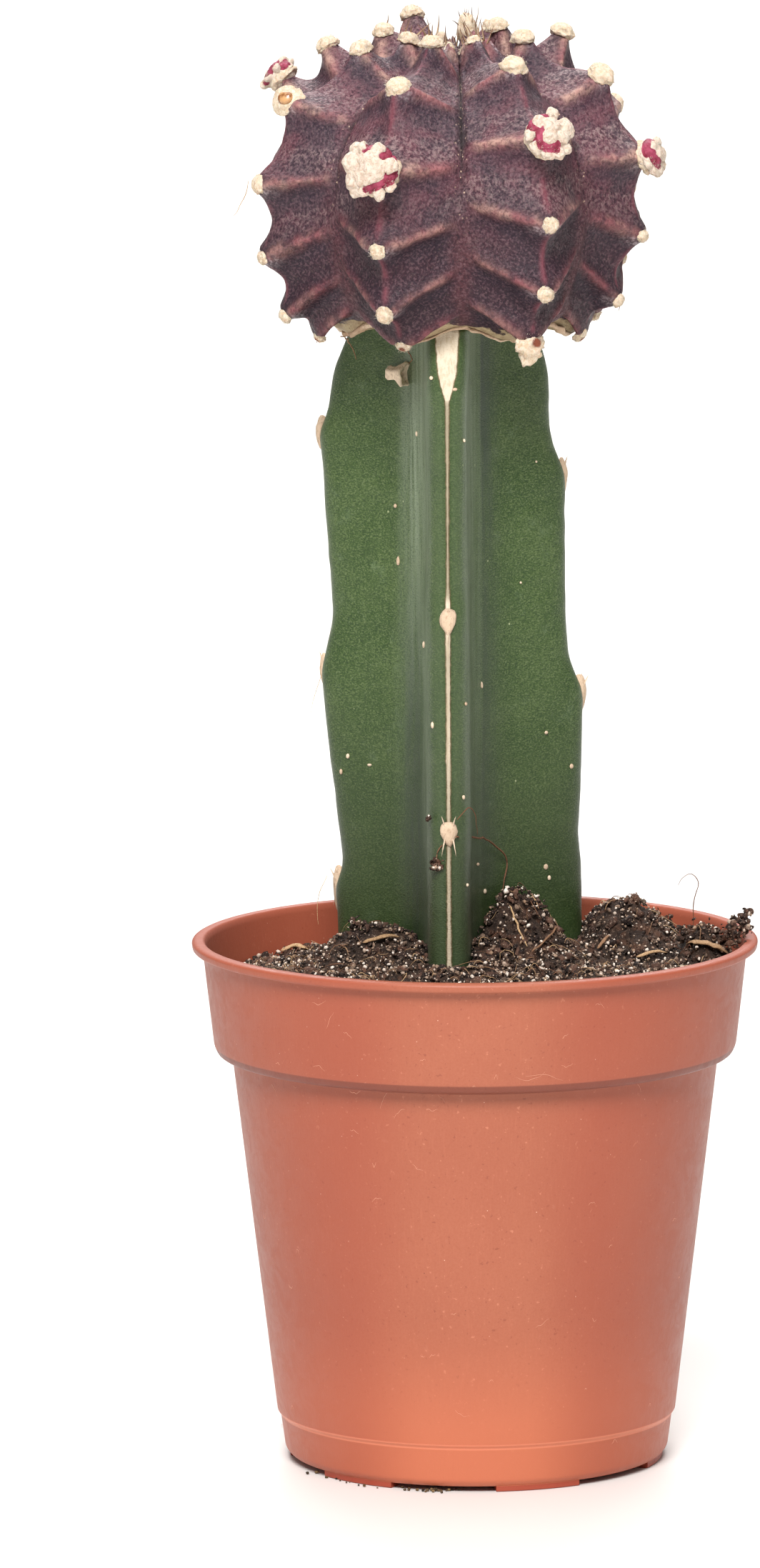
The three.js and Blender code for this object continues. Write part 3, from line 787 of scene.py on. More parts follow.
def half_wing(reach, cork_half, share):
    """One side of a wing, from its edge (share 0) into the middle of the fillet (share 1),
    as the distance along the wing and across it."""
    # The shares at which the flat cork, the rounded edge and the straight flank end, and how
    # deep in millimetres the rounded edge is
    facet, edge, flank = 0.12, 0.44, 0.72
    edge_depth = 3.0
    width = np.minimum(cork_half, WING_HALF * 0.7)
    whole_depth = reach - facet - WING_CENTRE
    depth = edge_depth * np.clip((share - facet) / (edge - facet), 0, 1) ** 1.7
    depth = np.where(share > edge, lerp(edge_depth, whole_depth, (share - edge) / (flank - edge)), depth)
    rounded_off = (1 - np.exp(-depth / 1.25)) ** 0.72
    across = np.where(share < facet, width * share / facet, width + (WING_HALF - width) * rounded_off)
    along = reach - facet * np.minimum(share / facet, 1) - depth
    turn = np.radians(-90 - 30 * (share - flank) / (1 - flank))
    past = share > flank
    along = np.where(past, WING_CENTRE + FILLET * np.cos(turn), along)
    across = np.where(past, WING_HALF + FILLET + FILLET * np.sin(turn), across)
    return along, across


def stem_grid(rows=250, half_columns=29):
    """Rings of the stem, with each point's values for its colours: how far it is from its wing's
    edge, the half width of the cork there, how deep it lies in the valley between two wings, made
    stronger under the head, how light the valley's grey is there, a waxy coating with a painted
    highlight where light and a painted shadow where dark, and whether it is on the front wing's rim,
    which takes painted shade."""
    z = np.linspace(STOCK_BOTTOM, STOCK_TOP, rows)[:, None]
    share = np.linspace(0, 1, half_columns + 1)
    rings = []
    values = {"edge_mm": [], "cork_mm": [], "valley": [], "bloom_light_and_shade": [], "front": []}
    for index, wing in enumerate(WINGS):
        reach = smooth_reach(wing, z)
        cork_half = from_list(wing["cork"], z)
        out, beside = wing_axes(wing)
        for side, steps in ((-1, share[:0:-1]), (1, share[:-1])):
            along, across = half_wing(reach, cork_half, steps)
            points = out * along[..., None] + beside * (side * across)[..., None]
            points[..., 0] += STOCK_X
            points[..., 2] = z
            rings.append(points)
            # Painted light and shade: the valley's grey is laid on more strongly under the head, and low
            # down on the front wing's left, whose fillet's grey also darkens lower down.
            left_valley = (index, side) in ((FRONT, -1), (LEFT, 1))
            fillet = smoothstep(steps, 0.78, 0.95)
            painted_light_boost = (0.75 if left_valley else 0.7) * smoothstep(z, 98, 122)
            bloom_light_and_shade = wing["bloom_light_and_shade"][side > 0]
            if left_valley:
                painted_light_boost = painted_light_boost + 0.45 * (1 - smoothstep(z, 88, 106))
                bloom_light_and_shade = bloom_light_and_shade * lerp(1, smoothstep(z, 80, 108), fillet)
            valley = smoothstep(steps, *wing["valley"][side > 0])
            if (index, side) == (FRONT, 1):
                valley = valley * (1 - 0.5 * fillet)
            found = (np.hypot(across, reach - along), cork_half, valley * (1 + painted_light_boost), bloom_light_and_shade,
                     (index == FRONT) * (1 - smoothstep(steps, 0.2, 0.36)))
            for value, kept in zip(found, values.values()):
                kept.append(np.broadcast_to(value, across.shape))
    return np.concatenate(rings, 1), {key: np.concatenate(kept, 1) for key, kept in values.items()}


def grid_normals(rings):
    """Outward directions on a grid of points whose columns close into a ring."""
    down = np.gradient(rings, axis=0)
    round_it = np.roll(rings, -1, 1) - np.roll(rings, 1, 1)
    normals = unit(np.cross(round_it, down))
    return normals if ((rings - rings.mean((0, 1))) * normals).sum() > 0 else -normals


def pole_values(values):
    """Grid values with one more for each of the two end points."""
    return np.concatenate([values.ravel(), [values[0].mean(), values[-1].mean()]])


def build_stem():
    """The stem, with slight waves in its faces and the cork standing a little proud."""
    rings, values = stem_grid()
    waves = lumps(rings * (1, 1, 0.5), (0.16, 5.5, 3)) + lumps(rings, (0.05, 1.7, 4))
    raised = 0.1 * smoothstep(values["cork_mm"] - values["edge_mm"], -0.1, 0.15)
    rings = rings + grid_normals(rings) * (waves + raised)[..., None]
    values = {key: pole_values(value) for key, value in values.items()}
    make_piece("stem", closed_skin(rings), stem_skin(), "stem_skin", ["rootstock"], **values)


# Areoles on the stem's edges: (wing, height, half width, half height, spines up, spines down)
STEM_AREOLES = [
    (FRONT, 99.3, 0.95, 1.25, 0, 1), (FRONT, 75.1, 1.0, 1.2, 2, 2), (LEFT, 118.1, 0.9, 1.6, 0, 0),
    (LEFT, 90.6, 0.55, 1.7, 1, 0), (LEFT, 65.6, 0.75, 2.0, 2, 1), (RIGHT, 113.2, 0.6, 1.8, 1, 0),
    (RIGHT, 87.8, 0.7, 1.8, 2, 0),
]


def bulb(base):
    """A ball drawn out to a point at its lower end."""
    taper = 1 - 0.55 * smoothstep(-base[:, 1], 0.1, 1.0)
    return np.stack([base[:, 0] * taper, base[:, 1] * (1 + 0.5 * (base[:, 1] < 0)), base[:, 2]], -1)


def build_stem_areoles():
    """The stem's areoles with their spines, its dried flower and its scars."""
    parts = []
    spines = []
    for index, z, half_width, half_height, ups, downs in STEM_AREOLES:
        wing = WINGS[index]
        out, beside = wing_axes(wing)
        centre = out * (from_list(wing["margin"], z) - 0.1) + np.array([STOCK_X, 0, z])
        axes = np.stack([beside, UP, out], -1)[None]
        size = np.array([[half_width, half_height, 0.75]])
        parts.append((copies(3, centre[None], axes, size, 0.17, index * 7 + int(z), bulb), 0.6))
        for count, rise in ((ups, 0.9), (downs, -1.3)):
            for k in range(count):
                lean = (k - (count - 1) / 2) * 1.1
                root = centre + out * 0.3 + beside * lean * 0.7 + UP * rise * 0.4
                spines.append((root, root + out * 0.55 + beside * lean * 0.8 + UP * rise * 1.7))
    roots, tips = columns_of(spines)
    parts.append((hairs(roots, tips, (tips - roots) * 0 + UP * 0.12, 0.16), 0.85))
    # The dried flower takes the palest shade: partly its own pale tan, partly painted light against the
    # head's shadow.
    parts += [(flower_remnant(), 1.0), *lenticels()]
    make_shaded("stem_areoles", parts, cork(), "stem_skin")


# The dried flower's profile: from its rim along its outside to its foot, then up its inside, as
# (radius, depth from its mouth)
REMNANT_PROFILE = [
    (1.14, -0.2), (1.32, -0.1), (1.38, 0.1), (1.22, 0.34), (1.12, 0.6), (0.92, 0.95), (0.74, 1.35),
    (0.76, 1.75), (0.82, 2.1), (0.62, 2.5), (0.3, 2.6), (0.16, 1.2), (0.26, 0.4), (0.62, 0.26), (0.94, 0.02),
]
REMNANT_MOUTH = np.array([-7.7, -2.0, 125.6])
REMNANT_INWARD = unit(np.array([-0.78, 0.62, 0.06]))


def flower_remnant():
    """A dried trumpet-shaped flower scar that sticks to the stem under the head."""
    axes = frames_along(REMNANT_INWARD[None])[0]
    turn = full_turn(28)[:, None]
    circle = axes[:, 0] * np.cos(turn) + axes[:, 1] * np.sin(turn)
    petals = 1 + 0.1 * np.sin(5 * turn)
    rings = np.array([
        REMNANT_MOUTH + circle * radius * petals + REMNANT_INWARD * depth
        for radius, depth in REMNANT_PROFILE
    ])
    return closed_ring(rings + lumps(rings, (0.12, 0.9, 5))[..., None])


# Small pale scars on the front of the stem: (x, z, half width, half height)
LENTICELS = [
    (-8.6, 104.0, 0.22, 0.55), (-5.7, 95.1, 0.15, 0.4), (0.9, 90.0, 0.18, 0.4), (-0.9, 89.5, 0.22, 0.22),
    (-4.7, 87.1, 0.22, 0.4), (8.3, 83.6, 0.25, 0.2), (11.2, 79.4, 0.3, 0.3), (-14.5, 80.9, 0.2, 0.3),
    (-12.0, 80.1, 0.28, 0.16), (-15.3, 79.0, 0.2, 0.35), (-6.4, 119.0, 0.18, 0.3),
    (-4.7, 126.6, 0.25, 0.25), (-2.0, 125.4, 0.3, 0.2), (-2.95, 124.6, 0.25, 0.25),
    (-1.0, 119.5, 0.12, 0.2), (8.2, 68.0, 0.3, 0.35), (8.6, 66.7, 0.22, 0.3), (1.2, 66.1, 0.25, 0.3),
    (0.4, 69.5, 0.25, 0.2), (-0.8, 68.7, 0.2, 0.2), (-1.2, 78.8, 0.25, 0.25), (-8.9, 110.3, 0.2, 0.25),
    (5.4, 101.2, 0.14, 0.14), (7.2, 115.0, 0.14, 0.14),
]


def stem_front(x, z):
    """The point of the stem's front side at a place across and a height."""
    lines = []
    for wing in WINGS:
        out, beside = wing_axes(wing)
        along, across = half_wing(smooth_reach(wing, z), from_list(wing["cork"], z), np.linspace(0, 1, 200))
        lines += [out * along[:, None] + beside * (side * across)[:, None] for side in (-1, 1)]
    places = np.concatenate(lines) + (STOCK_X, 0, 0)
    near = places[np.abs(places[:, 0] - x) < 0.12]
    return np.array([x, near[:, 1].min(), z])


def lenticels():
    """The scars as (body, shade) pairs."""
    marks = []
    for seed, (x, z, half_width, half_height) in enumerate(LENTICELS):
        centre = stem_front(x, z)
        normal = np.cross(stem_front(x + 0.4, z) - centre, UP)
        normal = normal if normal[1] < 0 else -normal
        size = np.array([[half_width, half_height, 0.16]])
        body = copies(2, centre[None], frames_along(normal[None]), size, 0.12, 40 + seed)
        marks.append((body, 0.9 if seed % 3 else 0.55))
    return marks


# The head: a rib's crest and the furrow beside it, as (radius, height) from the graft to the
# crown. A step counts these points from 0.
HEAD_X = -1.4
CREST = [
    (13.7, 132.15), (17.2, 130.5), (20.9, 132.4), (23.3, 137.0), (24.4, 142.6), (24.4, 148.4),
    (23.0, 153.8), (19.4, 158.8), (14.0, 162.4), (8.4, 163.8), (3.8, 162.7), (0, 161.4),
]
FURROW = [
    (13.2, 132.15), (15.4, 133.0), (17.5, 135.8), (18.9, 139.8), (19.6, 144.4), (19.5, 149.0),
    (18.2, 153.2), (15.0, 156.7), (10.4, 159.1), (6.1, 160.4), (2.7, 161.1), (0, 161.4),
]
LAST_STEP = len(CREST) - 1
GRAFT_HEIGHT = 132.3
GRAFT_DROP = 1.5
# The underside, from its middle outwards, as (share of the skin's lower edge, rise)
UNDERSIDE = [(0.4, 0.0), (0.8, 0.0), (0.97, -0.05)]

# The ribs: their angles, how far each one's areoles have moved on from their station to the next,
# and how far out they reach at the graft, the middle and the shoulder
RIB_ANGLES = np.array([-22.5, 24, 66.5, 113, 158, 202.5, 248, 291.5])
RIB_PHASES = [0.25, 0.6, 0.28, 0.75, 0.3, 0.8, 0, 0]
RIB_REACH = np.array([
    (1, 1, 1), (1.02, 1.02, 1.02), (0.87, 0.95, 0.98), (0.84, 0.86, 0.9),
    (0.93, 0.97, 1), (0.95, 1, 1), (0.86, 0.88, 1.04), (1, 1, 1),
])
RIBS = len(RIB_ANGLES)
STATIONS = [0.5, 2.15, 3.5, 4.95, 6.85, 8.5, 9.9]
CROWDED_STATIONS = [0.5, 2.0, 3.5, 5.1, 6.75, 7.8, 9.2]
CROWDED_RIB = 6
# Areoles that sit at a step of their own, by rib and station
OWN_STEPS = {
    (0, 5): 9.05, (1, 5): 9.9, (1, 6): 10.5, (2, 5): 9.08, (6, 6): 8.9, (7, 5): 8.35, (7, 6): 9.45,
    (7, 4): 6.7, (6, 0): 1.0, (7, 0): 1.0,
}
# How far an areole's tubercle rises over the crest's plain line, where it isn't the usual rise
SWELLS = {
    (6, 4): 1.4, (5, 4): 3.0, (3, 4): 1.7, (3, 5): 1.9, (6, 5): 1.0, (6, 6): 0.7, (7, 6): 0.5,
    (4, 6): 2.0, (1, 5): 0.9, (2, 5): 0.4, (0, 5): 0.2, (7, 5): 0.0, (5, 5): 0.2, (4, 5): 0.6,
}
USUAL_SWELL = 0.3
# Areoles past this station are near the crown.
SHOULDER_STATION = 4


def graft_line(across):
    """The height of the skin's lower edge: high in the furrows and low under the ribs."""
    return GRAFT_HEIGHT - GRAFT_DROP * (1 - smoothstep(across, 0.05, 0.95))


def areole_steps():
    """The step of each areole, by rib and station."""
    steps = np.tile(STATIONS, (RIBS, 1))
    steps[CROWDED_RIB] = CROWDED_STATIONS
    following = np.append(steps[:, 1:], np.full((RIBS, 1), LAST_STEP - 0.4), 1)
    steps = lerp(steps, following, np.array(RIB_PHASES)[:, None])
    for place, step in OWN_STEPS.items():
        steps[place] = step
    return steps


AREOLES = areole_steps()


def reach_at(rib, step):
    """How far out a rib reaches at a step, as a share of the crest's radius."""
    graft, middle, shoulder = np.moveaxis(RIB_REACH[rib], -1, 0)
    whole = lerp(graft, middle, smoothstep(step, 2, 5))
    whole = lerp(whole, shoulder, smoothstep(step, 5, 7.5))
    return lerp(1, whole, smoothstep(step, 0, 1))


def between(marks, at):
    """How far a step is on its way from one mark to the next, and 0 outside the marks."""
    index = (at[..., None] >= marks).sum(-1) - 1
    inside = (index >= 0) & (index < marks.shape[-1] - 1)
    index = np.clip(index, 0, marks.shape[-1] - 2)[..., None]
    lower = np.take_along_axis(marks, index, -1)[..., 0]
    upper = np.take_along_axis(marks, index + 1, -1)[..., 0]
    return np.where(inside, (at - lower) / (upper - lower), 0)


def head_skin_at(rib, side, step, across):
    """Points of the skin, where across is 0 on a crest and 1 in the furrow on the given side,
    with the distance up to the nearest cross-band in millimetres (below it is negative)."""
    high, high_slope = spline(CREST, step)
    low, low_slope = spline(FURROW, step)
    tangent = unit(high_slope)
    step_mm = lerp(np.linalg.norm(high_slope, axis=-1), np.linalg.norm(low_slope, axis=-1), across)

    # The skin sinks between one areole's cross-band and the next, and folds up at a band.
    at = step - 0.14 * (5.4 - step) * across
    areoles = AREOLES[rib]
    share = between(np.concatenate([areoles[..., :1] - 1.5, areoles], -1), at)
    blunt = 0.09 * (1 - smoothstep(across, 0.1, 0.4))
    share = np.clip((share - blunt) / (1 - 2 * blunt), 0, 1)
    skewed = share ** (1 + 0.3 * smoothstep(across, 0.05, 0.3))
    sink = 4 * skewed * (1 - skewed) * (1 - across**3)
    sink *= lerp(1.75, 0.85, np.minimum(1, across * 2))
    sink *= (1 + 0.15 * smoothstep(step, 7, 9)) * smoothstep(step, 0, 0.6)
    gaps = at[..., None] - areoles
    nearest = np.take_along_axis(gaps, np.abs(gaps).argmin(-1)[..., None], -1)[..., 0]
    from_band = nearest * step_mm
    fold = bump_at(from_band, 0, 0.75) * smoothstep(across, 0.06, 0.2) * (1 - smoothstep(across, 0.7, 0.95))
    sink = sink - 0.42 * fold

    # From crest to furrow it falls steeply, with a rounded top and a crease at the bottom.
    round_off = 0.03 + 0.1 * bump_at(from_band, 0, 1.2)
    soft = (np.sqrt(across**2 + round_off**2) - round_off) / (np.sqrt(1 + round_off**2) - round_off)
    rise = (1 - soft) ** (1.15 + 0.5 * (1 - smoothstep(step, 3.5, 6)))
    width = lerp(1, reach_at(rib, step), 1 - across**2)
    crease = 0.9 * smoothstep(across, 0.94, 1) * smoothstep(step, 4, 6) * (1 - smoothstep(step, 9, 10.5))
    radius = lerp(low[..., 0], high[..., 0], rise) * width - tangent[..., 1] * (sink + crease)
    z = lerp(low[..., 1], high[..., 1], rise) + tangent[..., 0] * (sink + crease)
    z = z + (graft_line(across) - CREST[0][1]) * (1 - smoothstep(step, 0, 0.95))
    neighbour = RIB_ANGLES[(rib + side) % RIBS]
    gap = ((neighbour - RIB_ANGLES[rib]) * side + 360) % 360
    points = polar(radius, RIB_ANGLES[rib] + side * across * gap / 2, z)
    points[..., 0] += HEAD_X
    return points, from_band


def crest_place(rib, station):
    """An areole's place on its crest before the swelling, the way it faces, and how much its
    tubercle swells."""
    step = AREOLES[rib, station]
    tip, _ = head_skin_at(np.array(rib), np.array(1), np.array(step), np.array(0.0))
    tangent = unit(spline(CREST, step)[1])
    rise = SWELLS.get((rib, station), USUAL_SWELL * (station > SHOULDER_STATION))
    return tip, polar(tangent[1], RIB_ANGLES[rib], -tangent[0]), rise


def swollen(points):
    """Points of the skin with the tubercles near the crown raised."""
    moved = points.copy()
    for rib in range(RIBS):
        for station in range(SHOULDER_STATION, len(STATIONS)):
            tip, out, rise = crest_place(rib, station)
            near = np.exp(-((points - tip) ** 2).sum(-1) / (1.9 + 0.42 * rise) ** 2)
            moved += near[..., None] * out * rise
    return moved


def areole_place(rib, station):
    """The middle of an areole, and the way it faces."""
    tip, out, rise = crest_place(rib, station)
    return tip + out * rise, out


def head_columns(half):
    """For each column of the head's grid: its rib, the rib's side, and how far across it is."""
    column = np.arange(RIBS * half * 2)
    local = column % (2 * half)
    side = np.where(local <= half, 1, -1)
    rib = np.where(side > 0, column // (2 * half), column // (2 * half) + 1) % RIBS
    across = np.where(side > 0, local, 2 * half - local) / half
    return rib, side, lerp(across, across**1.5, 0.5)


def head_values(rings, from_band, step, across):
    """What the head's colours are worked out from, point by point."""
    fade = smoothstep(across, 0.03, 0.15) * (1 - smoothstep(across, 0.72, 0.98))
    blotches = 0.5 + 0.5 * soft_noise(rings, 5, 8)
    off_band = smoothstep(np.abs(from_band), 0.8, 1.6)
    furrow = smoothstep(across + 0.03 * soft_noise(rings, 0.7, 9), 0.93, 0.985)
    upper = lerp(0.14, 1, smoothstep(step, 3.0, 6.2))
    return {
        "band": bump_at(from_band, 0.05, lerp(0.5, 0.85, blotches)) * fade,
        "crest": bump_at(across, 0, 0.04) * smoothstep(step, 0.8, 1.5) * off_band,
        # where the furrows' creases take painted shade, on the upper head
        "furrow": furrow * smoothstep(step, 4.2, 6.4),
        "specks": bump_at(across, 1, 0.07) * smoothstep(step, 3.6, 5.4),
        "shade_below": bump_at(from_band, -1.6, 1.2) * (1 - smoothstep(across, 0.6, 1)),
        "neck": bump_at(from_band, -0.7, 0.6) * (1 - smoothstep(across, 0.1, 0.28)),
        "sheen": (smoothstep(from_band, 0.5, 1.6) * blotches + 0.22) * upper,
        # where the lower head takes painted shade
        "low": 1 - smoothstep(step, 2.5, 6.2),
        "middle": smoothstep(across + 0.06 * soft_noise(rings, 2.2, 10), 0.72, 1.0),
        "graft": 1 - smoothstep(step, 0.0, 1.6),
    }


def build_head_skin(rows=244, half_columns=21):
    """The ribbed head, closed below over the graft."""
    step = np.linspace(0, 1, rows)
    step = LAST_STEP * lerp(step, smoothstep(step, 0, 1), 0.15)
    # The last ring stays just off the crown's middle.
    step[-1] = LAST_STEP - 0.02
    rib, side, across, step = np.broadcast_arrays(*head_columns(half_columns), step[:, None])
    rings, from_band = head_skin_at(rib, side, step, across)
    centre = np.array([HEAD_X, 0, CREST[0][1]])
    below = np.array([centre + (rings[0] - centre) * share + (0, 0, dip) for share, dip in UNDERSIDE])
    bumps = lumps(rings, (0.22, 3.6, 5), (0.1, 1.5, 6), (0.05, 0.8, 7))
    calm = smoothstep(step, 0.0, 0.4) * (1 - smoothstep(step, 10.6, 10.95))
    rings = swollen(rings + grid_normals(rings) * (bumps * calm)[..., None])
    values = {}
    for key, value in head_values(rings, from_band, step, across).items():
        underside = np.full((len(below), value.shape[1]), key == "graft")
        values[key] = pole_values(np.concatenate([underside, value]))
    skin = closed_skin(np.concatenate([below, rings]))
    make_piece("head_skin", skin, head_skin(), "head_skin", ["scion"], **values)


# Buds by rib and station. Places on a bud are (right, up) as seen from outside it, in radii:
# tufts of wool as (right, up, size), and the paths along which its crimson skin shows.
BUDS = {
    (0, 3): {
        "radius": 3.1,
        "tufts": [
            (-0.67, 0.75, 0.24), (-0.38, 0.82, 0.2), (-0.7, 0.22, 0.38), (-0.6, -0.42, 0.32),
            (-0.5, -0.78, 0.24), (-0.27, -0.72, 0.24), (0.2, 0.75, 0.24), (0.08, 0.25, 0.4),
            (0.12, -0.15, 0.4), (0.7, 0.17, 0.3), (0.38, -0.82, 0.24), (0.76, -0.52, 0.19),
            (-0.2, -0.3, 0.36),
        ],
        "crimson": [
            [(0.5, 0.95), (0.63, 0.68), (0.42, 0.42)], [(0.9, 0.52), (1.0, 0.3), (1.02, 0.0)],
            [(-0.05, -0.62), (0.4, -0.46), (0.9, -0.18)], [(-0.14, 0.94), (-0.1, 0.8)],
        ],
    },
    (1, 3): {
        "radius": 2.75,
        "tufts": [
            (-0.84, -0.02, 0.24), (-0.66, -0.56, 0.26), (-0.2, -0.84, 0.26), (0.24, -0.86, 0.26),
            (0.6, -0.68, 0.22), (-0.39, 0.46, 0.28), (0.3, 0.84, 0.26), (0.05, 0.22, 0.36),
            (-0.08, -0.17, 0.34), (0.68, 0.22, 0.34), (0.49, -0.22, 0.3), (0.84, -0.02, 0.24),
        ],
        "crimson": [
            [(0.0, 0.95), (-0.34, 0.8), (-0.68, 0.66), (-0.76, 0.4), (-0.6, 0.15)],
            [(-0.46, 0.02), (-0.5, -0.32), (-0.34, -0.58), (0.05, -0.6)],
        ],
    },
    (2, 3): {
        "radius": 2.1,
        "fold": 0.32,
        "tufts": [
            (0.0, -0.85, 0.3), (0.55, -0.6, 0.3), (0.85, 0.0, 0.32), (0.6, 0.6, 0.3), (0.05, 0.1, 0.34),
            (-0.85, -0.35, 0.28), (-0.45, -0.75, 0.3), (-0.25, 0.5, 0.26), (0.4, -0.1, 0.34),
        ],
        "crimson": [
            [(0.1, 0.95), (-0.5, 0.78), (-0.85, 0.3), (-0.62, 0.1)],
            [(-0.62, -0.02), (-0.45, -0.3), (-0.2, -0.42)],
        ],
    },
    (4, 3): {
        "radius": 2.6,
        "tufts": [
            (-0.8, 0.1, 0.3), (-0.6, 0.65, 0.28), (0.0, 0.85, 0.28), (0.6, 0.6, 0.28), (0.1, 0.2, 0.4),
            (-0.2, -0.3, 0.34), (-0.6, -0.6, 0.28), (0.1, -0.85, 0.28), (0.75, -0.5, 0.24),
            (0.5, -0.1, 0.26),
        ],
        "crimson": [
            [(0.95, 0.35), (0.8, 0.0), (0.85, -0.25), (0.4, -0.55)],
            [(-0.3, 0.6), (-0.45, 0.25), (-0.85, -0.25)],
        ],
    },
    (5, 2): {
        "radius": 2.3,
        "tufts": [
            (-0.8, -0.2, 0.3), (-0.5, -0.7, 0.3), (0.1, -0.85, 0.3), (0.7, -0.5, 0.3), (0.85, 0.15, 0.28),
            (0.0, 0.0, 0.4), (-0.4, 0.3, 0.3), (0.4, 0.3, 0.28),
        ],
        "crimson": [[(-0.7, 0.5), (-0.2, 0.85), (0.35, 0.85), (0.7, 0.55)]],
    },
    (6, 4): {
        "radius": 2.1,
        "fold": 0.36,
        "tufts": [
            (-0.75, 0.5, 0.3), (-0.8, -0.2, 0.3), (-0.3, -0.8, 0.3), (0.35, -0.82, 0.28), (0.9, -0.3, 0.26),
            (0.0, 0.65, 0.28), (-0.25, 0.0, 0.34), (0.85, 0.45, 0.22), (0.1, -0.45, 0.28),
        ],
        "crimson": [
            [(0.25, 0.3), (0.5, 0.1), (0.7, -0.1)], [(0.3, 0.95), (0.6, 0.85)], [(0.5, -0.5), (0.65, -0.55)],
        ],
    },
}
# Areoles unlike the rest, by rib and station. A pad's radius, thickness and lift are in
# millimetres, and turned is added to the way it faces.
HANGING_PAD = (1, 0)
SMOOTH_DISC = (2, 4)
AMBER_DISC = (7, 4)
TALL_TUFT = (4, 6)
PADS = {
    HANGING_PAD: {"radius": 1.75, "lift": 0.5, "turned": (0.1, -0.4, 0.7)},
    SMOOTH_DISC: {"radius": 1.7, "thick": 0.7, "lift": 0.35, "turned": (0, -0.3, 0)},
    AMBER_DISC: {"radius": 2.0, "thick": 0.5, "lift": 0.3, "turned": (0.1, -0.9, 0.0)},
    TALL_TUFT: {"radius": 1.35, "thick": 1.7, "lift": 0.5},
    (0, 6): {"radius": 0.8}, (1, 6): {"radius": 0.75}, (2, 6): {"radius": 0.6}, (3, 6): {"radius": 0.7},
    (5, 6): {"radius": 0.6}, (5, 5): {"radius": 0.7}, (4, 5): {"radius": 0.8},
}
# How many spines stand on an areole, where it isn't left to chance
SPINES = {
    (4, 6): 18, (1, 5): 7, (0, 5): 5, (7, 6): 3, (5, 4): 3, (6, 6): 1, (1, 6): 2, (0, 6): 2, (3, 6): 2,
    (2, 6): 1, (6, 5): 0, (7, 5): 0, (3, 4): 0, (3, 5): 0, (2, 5): 0, (4, 5): 0, (2, 4): 0, (5, 5): 1,
}
# Spines near the crown and lower down: how far they sway and lean upwards, lengths, thicknesses
CROWN_SPINES = (0.45, 0.45, (1.4, 2.9), (0.1, 0.17))
LOW_SPINES = (0.7, 0.0, (0.3, 0.9), (0.04, 0.07))

# The wool's fine fibres, the buds' form and the callus
FIBRES_PER_PAD = 80
FIBRES_PER_TUFT = 34
BUD_DOME = 0.62
BUD_CORE = 0.74
FINE_BUD_RADIUS = 2.7
CALLUS_RADIUS = 13.35
CALLUS_THICKNESS = 0.44


def cushion(base):
    """A ball pressed into a thick cap that droops round its edge, with a dent in its face."""
    out = np.minimum(np.hypot(base[:, 0], base[:, 1]), 1)
    height = np.sign(base[:, 2]) * np.sqrt(1 - out**3)
    dent = 0.22 * bump_at(out, 0, 0.3) * (base[:, 2] > 0)
    return np.stack([base[:, 0], base[:, 1], height - dent - 0.55 * out**2], -1)


def ragged_caps(centres, normals, sizes, torn):
    """Thin wool caps with uneven, drooping rims, one on each areole; torn ones are more ragged."""
    base, faces = BALLS[4]
    # Each cap takes its bumps from its own place in the noise.
    spots = base[None] + np.arange(len(centres))[:, None, None] * 23.7
    out = np.minimum(np.hypot(base[:, 0], base[:, 1]), 1)
    rim = smoothstep(out, 0.6, 1.0)[None]
    uneven = lumps(spots, (0.13, 0.8, 21)) + rim * lumps(spots, (0.13, 0.34, 22), (0.09, 0.17, 23))
    local = cushion(base)[None] * np.ones_like(spots)
    local[..., :2] *= (1 + uneven * torn[:, None])[..., None]
    matted = lumps(spots, (0.16, 0.45, 24), (0.08, 0.2, 25)) * torn[:, None]
    local[..., 2] += matted - rim * 0.3 * np.abs(soft_noise(spots, 0.4, 26))
    return placed(local * sizes[:, None], faces, centres, frames_along(normals))


def fuzz(centres, normals, sizes, each, random, length):
    """Fine stray fibres that lie mostly flat, so many on each cushion of wool."""
    axes = np.repeat(frames_along(normals), each, 0)
    size = np.repeat(sizes, each, 0)
    middle = np.repeat(centres, each, 0)
    way = unit(random.normal(size=(len(middle), 3)) * (1, 1, 0.6) + (0, 0, 0.2))
    roots = middle + np.einsum("kij,kj->ki", axes, way * size * 0.9)
    lean = unit(0.35 * way + unit(random.normal(size=way.shape)))
    reach = length * random.uniform(0.3, 1.0, (len(middle), 1))
    tips = roots + np.einsum("kij,kj->ki", axes, lean) * reach
    bends = random.normal(size=roots.shape) * 0.06
    return hairs(roots, tips, bends, random.uniform(0.014, 0.028, len(roots)), 2)


def pad_size(place, random):
    """The radius, thickness and lift of an areole's wool."""
    step = AREOLES[place]
    radius = 0.95 + 0.55 * smoothstep(step, 3.5, 7) - 0.35 * smoothstep(step, 8.6, 10.6)
    radius *= random.uniform(0.9, 1.08)
    size = {"radius": radius, "thick": 0.5 * radius, "lift": 0.14}
    if place in BUDS:
        radius = 0.86 * BUDS[place]["radius"]
        size = {"radius": radius, "thick": 0.5 * radius, "lift": 0.3 * radius}
    size.update(PADS.get(place, {}))
    return size["radius"], size["thick"], size["lift"]


